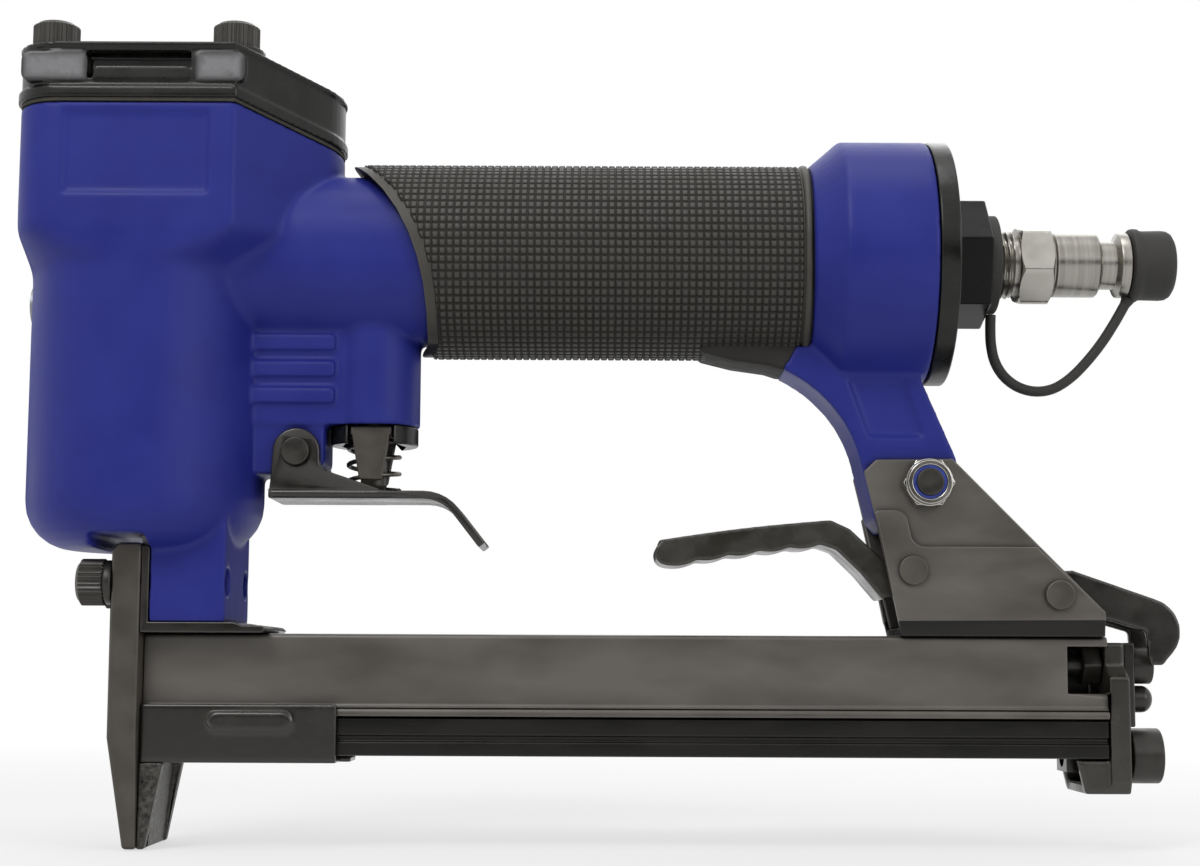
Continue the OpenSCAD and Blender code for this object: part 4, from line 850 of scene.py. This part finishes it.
def dust_cap():
    """Moulded cap with a thick lip and a shallow dish in its end."""
    low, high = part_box("dust_cap")
    middle = Vector((0, 0, (low.z + high.z) / 2))
    start = low.x / MM
    end = high.x / MM
    bore = 5.4
    floor = end - 1.8
    rings = [
        level(0, floor), level(bore, floor), level(bore, start), level(6.2, start),
        level(6.9, start + 0.3), level(7.05, start + 0.8), level(7.0, start + 1.6),
        level(6.7, start + 2.0), level(6.62, start + 2.6), level(6.7, end - 2.2), level(6.6, end - 1.2),
        level(6.2, end - 0.5), level(5.4, end), level(4.6, end - 0.1), level(4.2, end - 0.5),
        level(0, end - 0.6)]
    body = stacked_rings(72, rings)
    root_start = Vector(STRAP_ROUTE_MM[-1])
    root = stacked_rings(16, [level(0, 0), level(STRAP_RADIUS, 0), level(STRAP_RADIUS + 0.3, 1.2),
                              level(0, 1.6)])
    heading = root_start - Vector(STRAP_ROUTE_MM[-2])
    cap = gathered([(body, along(middle, (1, 0, 0))), (root, along(root_start * MM, heading))])
    dress(piece_from(cap, "dust_cap_finished"), "dust_cap")


air_plug()
dust_cap()


# Springs
def coil_points(name, axis, wire, turns):
    """Points of a wound spring that fills a CAD node's box."""
    low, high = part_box(name)
    centre = (low + high) / 2
    along_axis = Vector(axis)
    i = [abs(c) for c in axis].index(1)
    span = high[i] - low[i] - wire * MM
    across = [k for k in range(3) if k != i]
    radius = (high[across[0]] - low[across[0]] - wire * MM) / 2
    points = []
    per_turn = 24
    for k in range(turns * per_turn + 1):
        angle = TURN * k / per_turn
        point = centre + along_axis * span * (k / (turns * per_turn) - 0.5)
        point[across[0]] += radius * math.cos(angle)
        point[across[1]] += radius * math.sin(angle)
        points.append(point)
    return points


def wound_spring(name, axis, wire, turns):
    """Spring wire wound over the CAD coil."""
    piece = tube_mesh(coil_points(name, axis, wire, turns), wire / 2, name + "_wound")
    return dress(piece, name)


def shortening_spring(name, axis, wire, turns):
    """Wound spring with a mesh of its own."""
    piece = wound_spring(name, axis, wire, turns)
    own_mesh(piece)


wound_spring("latch_spring", (0, 1, 0), 0.8, 6)
shortening_spring("trigger_spring", (0, 0, 1), 0.9, 3)
shortening_spring("firing_valve_spring", (0, 0, 1), 0.8, 5)
shortening_spring("pusher_spring", (1, 0, 0), 0.8, 24)


# Pressed, forged and turned steel: rounding of the edges in millimetres
def turned_up(edge):
    """Whether an edge lies between a top and an outer side."""
    normals = [face.normal for face in edge.link_faces]
    return max(n.z for n in normals) > 0.6 and max(abs(n.y) for n in normals) > 0.9


COVER_RIM_X = (14.4, 26.4)
COVER_RIM_Z = 23.3
COVER_RIM_RADIUS = 1.5


def rolled_cover():
    """Pressed cover with rolled edges and a raised rim on each side."""
    cover = cast_skin("front_cover", 0.25, 14, 0.5)
    shape = bmesh.new()
    shape.from_mesh(cover.data)
    bpy.data.objects.remove(cover)
    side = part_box("front_cover")[1].y / MM - 0.35
    steps = 24
    for y in (-side, side):
        loop = []
        for k in range(steps):
            angle = TURN * (k + 0.5) / steps
            middle = COVER_RIM_X[1] if math.cos(angle) > 0 else COVER_RIM_X[0]
            x = middle + COVER_RIM_RADIUS * math.cos(angle)
            loop.append(Vector((x, y, COVER_RIM_Z + COVER_RIM_RADIUS * math.sin(angle))) * MM)
        rim = tube_mesh(loop, 0.34, "cover_rim", loop=True)
        shape.from_mesh(rim.data)
        bpy.data.objects.remove(rim)
    dress(piece_from(shape, "front_cover_finished", 60), "front_cover")


TRIGGER_SHEET = 1.7
TRIGGER_BEAD = 0.9


def rolled_trigger():
    """Pressed trigger with rolled lower edges beside its web."""
    low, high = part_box("trigger")
    web_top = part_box("trigger_spring")[0].z / MM - 0.1
    shape = flat_copy("trigger")
    rounded(shape, 0.35)
    side = high.y / MM - TRIGGER_BEAD + 0.45
    z = web_top - TRIGGER_SHEET + TRIGGER_BEAD + 0.1
    bead = stacked_rings(20, [level(0, 0), level(TRIGGER_BEAD, 0.4), level(TRIGGER_BEAD, 20),
                              level(0.5, 26), level(0, 26)])
    beads = [(bead, along(Vector((low.x / MM + 0.3, y, z)) * MM, (1, 0, 0))) for y in (-side, side)]
    whole = gathered([(shape, Matrix())] + beads)
    dress(piece_from(whole, "trigger_finished"), "trigger")


BRACKET_FOOT = 2.9
FOOT_STEP = 0.8


def stepped_bracket():
    """Bracket whose foot steps in just above the rail, the foot painted black as painted shade."""
    low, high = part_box("magazine_bracket")
    shape = flat_copy("magazine_bracket")
    step_z = low.z + BRACKET_FOOT * MM
    slope = 0.4 * MM
    for z in (step_z, step_z - slope):
        every = shape.verts[:] + shape.edges[:] + shape.faces[:]
        bmesh.ops.bisect_plane(shape, geom=every, dist=1e-7, plane_co=(0, 0, z), plane_no=(0, 0, 1))
    for vert in shape.verts:
        if vert.co.z < step_z - slope / 2 and abs(vert.co.y) > high.y - 0.05 * MM:
            vert.co.y -= math.copysign(FOOT_STEP * MM, vert.co.y)
    # Painted shade: the foot below the step takes the second, black material
    for face in shape.faces:
        face.material_index = 1 if face.calc_center_median().z < step_z else 0
    piece = softened("magazine_bracket", 0.25, PHOSPHATE_STEEL, shape=shape)
    piece.data.materials.append(OILED_STEEL_AND_SHADE)


SHEET_GAP = 0.7
SHEET_SEAT = 0.03
TAIL_ZONE = 2
TAIL_CUT = 2.8


def seated_sheet():
    """Bent sheet under the casting's foot, pressed down on the rail, with a shorter tail."""
    shape = flat_copy("nose_sheet")
    rail_top = min(v.co.z for v in shape.verts)
    tail = max(v.co.x for v in shape.verts)
    for vert in shape.verts:
        if vert.co.z < rail_top + SHEET_GAP * MM:
            vert.co.z = rail_top + SHEET_SEAT * MM
        if vert.co.x > tail - TAIL_ZONE * MM:
            vert.co.x -= TAIL_CUT * MM
    softened("nose_sheet", 0.3, shape=shape)


softened("magazine_rail", 0.25, PHOSPHATE_STEEL, bend=0.9, choose=turned_up)
softened("arm_plates", 0.35, PHOSPHATE_STEEL)
stepped_bracket()
softened("magazine_drawer", 0.3, OILED_STEEL_AND_SHADE)
softened("nose_plate", 0.6, BLACKENED_STEEL)
softened("nose_block", 0.4, SAND_CASTING)
seated_sheet()
rolled_trigger()
rolled_cover()
# The lever and the drawer's end plate take the lighter enamel as a painted sheen
for node, surface in (("lever", LIGHTENED_ENAMEL), ("latch", BLACK_ENAMEL),
                      ("drawer_end_plate", LIGHTENED_ENAMEL)):
    dress(cast_skin(node, 0.3, 9, 0.5), node, surface=surface)
for node in ("end_cap", "valve_collar"):
    softened(node, 0.4, CAST_ENAMEL)
softened("valve_stem", 0.4, BLACKENED_STEEL)
softened("inlet_bushing", 0.4, BLACK_ANODISED)
for node in ("catch_bracket", "catch_bolt", "catch_nut", "catch_rivet", "drawer_screw",
             "nose_spring_washers"):
    softened(node, 0.35)
for node in ("lever_pin", "latch_pin"):
    softened(node, 0.3, BLACKENED_STEEL)
for node in ("trigger_pin", "arm_bolt", "inlet_ring"):
    softened(node, 0.25)
softened("arm_nut", 0.25, SMOOTH_ZINC)

# CAD nodes that stay as they are
for name, obj in frame["nodes"].items():
    obj.data.materials.clear()
    obj.data.materials.append(SLOT_FINISH[NODE_SLOT[name]])


# Studio, in metres apart from the floor's height
MIDDLE = (0.09, 0, 0.08)
FLOOR_Z = -0.2
FLOOR_RADIUS = 3.0


def sees_background(tree):
    """One for rays of the camera and for those mirrored or let through, zero for the others."""
    path = add_node(tree, "LightPath").outputs
    seen = path["Is Camera Ray"]
    for other in ("Is Glossy Ray", "Is Transmission Ray"):
        seen = add_node(tree, "Math", {0: seen, 1: path[other]}, operation="MAXIMUM").outputs["Value"]
    return seen


def studio_world():
    """White to the eye and in reflections, and a softer light on the object."""
    world = bpy.data.worlds.new("studio")
    world.use_nodes = True
    bpy.context.scene.world = world
    tree = world.node_tree
    tree.nodes.clear()
    light = add_node(tree, "Background", {"Color": (1, 1, 1, 1), "Strength": 0.42})
    white = add_node(tree, "Background", {"Color": (1, 1, 1, 1), "Strength": 1.0})
    pair = {0: sees_background(tree), 1: light.outputs[0], 2: white.outputs[0]}
    mixed = add_node(tree, "MixShader", pair)
    add_node(tree, "OutputWorld", {"Surface": mixed.outputs[0]})


def studio_floor():
    """Pale matt floor that keeps the shadow near the object and turns white further out."""
    shape = bmesh.new()
    bmesh.ops.create_circle(shape, cap_ends=True, radius=FLOOR_RADIUS, segments=64)
    bmesh.ops.translate(shape, vec=(0, 0, FLOOR_Z * MM), verts=shape.verts)
    floor = piece_from(shape, "studio_floor")
    material, tree, shader, place = new_material("matt_white_board")
    shader.inputs["Base Color"].default_value = hex_colour("#efefef")
    shader.inputs["Roughness"].default_value = 0.9
    far = add_node(tree, "VectorMath", {0: place}, operation="LENGTH").outputs["Value"]
    fade = add_node(tree, "MapRange", {"Value": far, "From Min": 0.15, "From Max": 0.5,
                                       "To Min": 0.6, "To Max": 1.0})
    share = add_node(tree, "Math", {0: fade.outputs["Result"], 1: sees_background(tree)},
                     operation="MULTIPLY")
    white = add_node(tree, "Emission", {"Color": (1, 1, 1, 1), "Strength": 1.0})
    pair = {0: share.outputs["Value"], 1: shader.outputs[0], 2: white.outputs[0]}
    mixed = add_node(tree, "MixShader", pair)
    tree.links.new(mixed.outputs[0], tree.nodes["Material Output"].inputs["Surface"])
    floor.data.materials.append(material)


CARD_AWAY = 1.3
CARD_SIZE = (2.6, 0.33)


def dark_card(name, y):
    """Dark card before or behind the object that shows only in its gloss."""
    shape = bmesh.new()
    bmesh.ops.create_grid(shape, x_segments=1, y_segments=1, size=0.5)
    bmesh.ops.scale(shape, vec=(*CARD_SIZE, 1), verts=shape.verts)
    bmesh.ops.rotate(shape, matrix=Matrix.Rotation(math.pi / 2, 3, "X"), verts=shape.verts)
    bmesh.ops.translate(shape, vec=(MIDDLE[0], y, CARD_SIZE[1] / 2), verts=shape.verts)
    card = piece_from(shape, name)
    material, _, shader, _ = new_material("black_felt_" + name)
    shader.inputs["Base Color"].default_value = hex_colour("#161616")
    shader.inputs["Roughness"].default_value = 0.95
    card.data.materials.append(material)
    card.visible_camera = False


def soft_box(name, spot, aim, size, power):
    """Large square lamp in metres and watts, aimed at a point."""
    lamp = bpy.data.lights.new(name, "AREA")
    lamp.size = size
    lamp.energy = power
    holder = bpy.data.objects.new(name, lamp)
    bpy.context.scene.collection.objects.link(holder)
    turn = (Vector(aim) - Vector(spot)).to_track_quat("-Z", "Y").to_matrix().to_4x4()
    holder.matrix_world = Matrix.Translation(spot) @ turn


studio_world()
studio_floor()
dark_card("front_card", -CARD_AWAY)
dark_card("rear_card", CARD_AWAY)
soft_box("key_light", (-0.35, -0.75, 0.85), MIDDLE, 0.45, 5.0)
soft_box("top_light", (0.09, -0.12, 0.95), MIDDLE, 0.4, 1.6)
soft_box("fill_light", (0.75, -0.7, 0.35), MIDDLE, 0.5, 1.8)
soft_box("rear_light", (0.2, 0.8, 0.8), MIDDLE, 0.7, 1.8)
bpy.context.scene.view_settings.view_transform = "Standard"
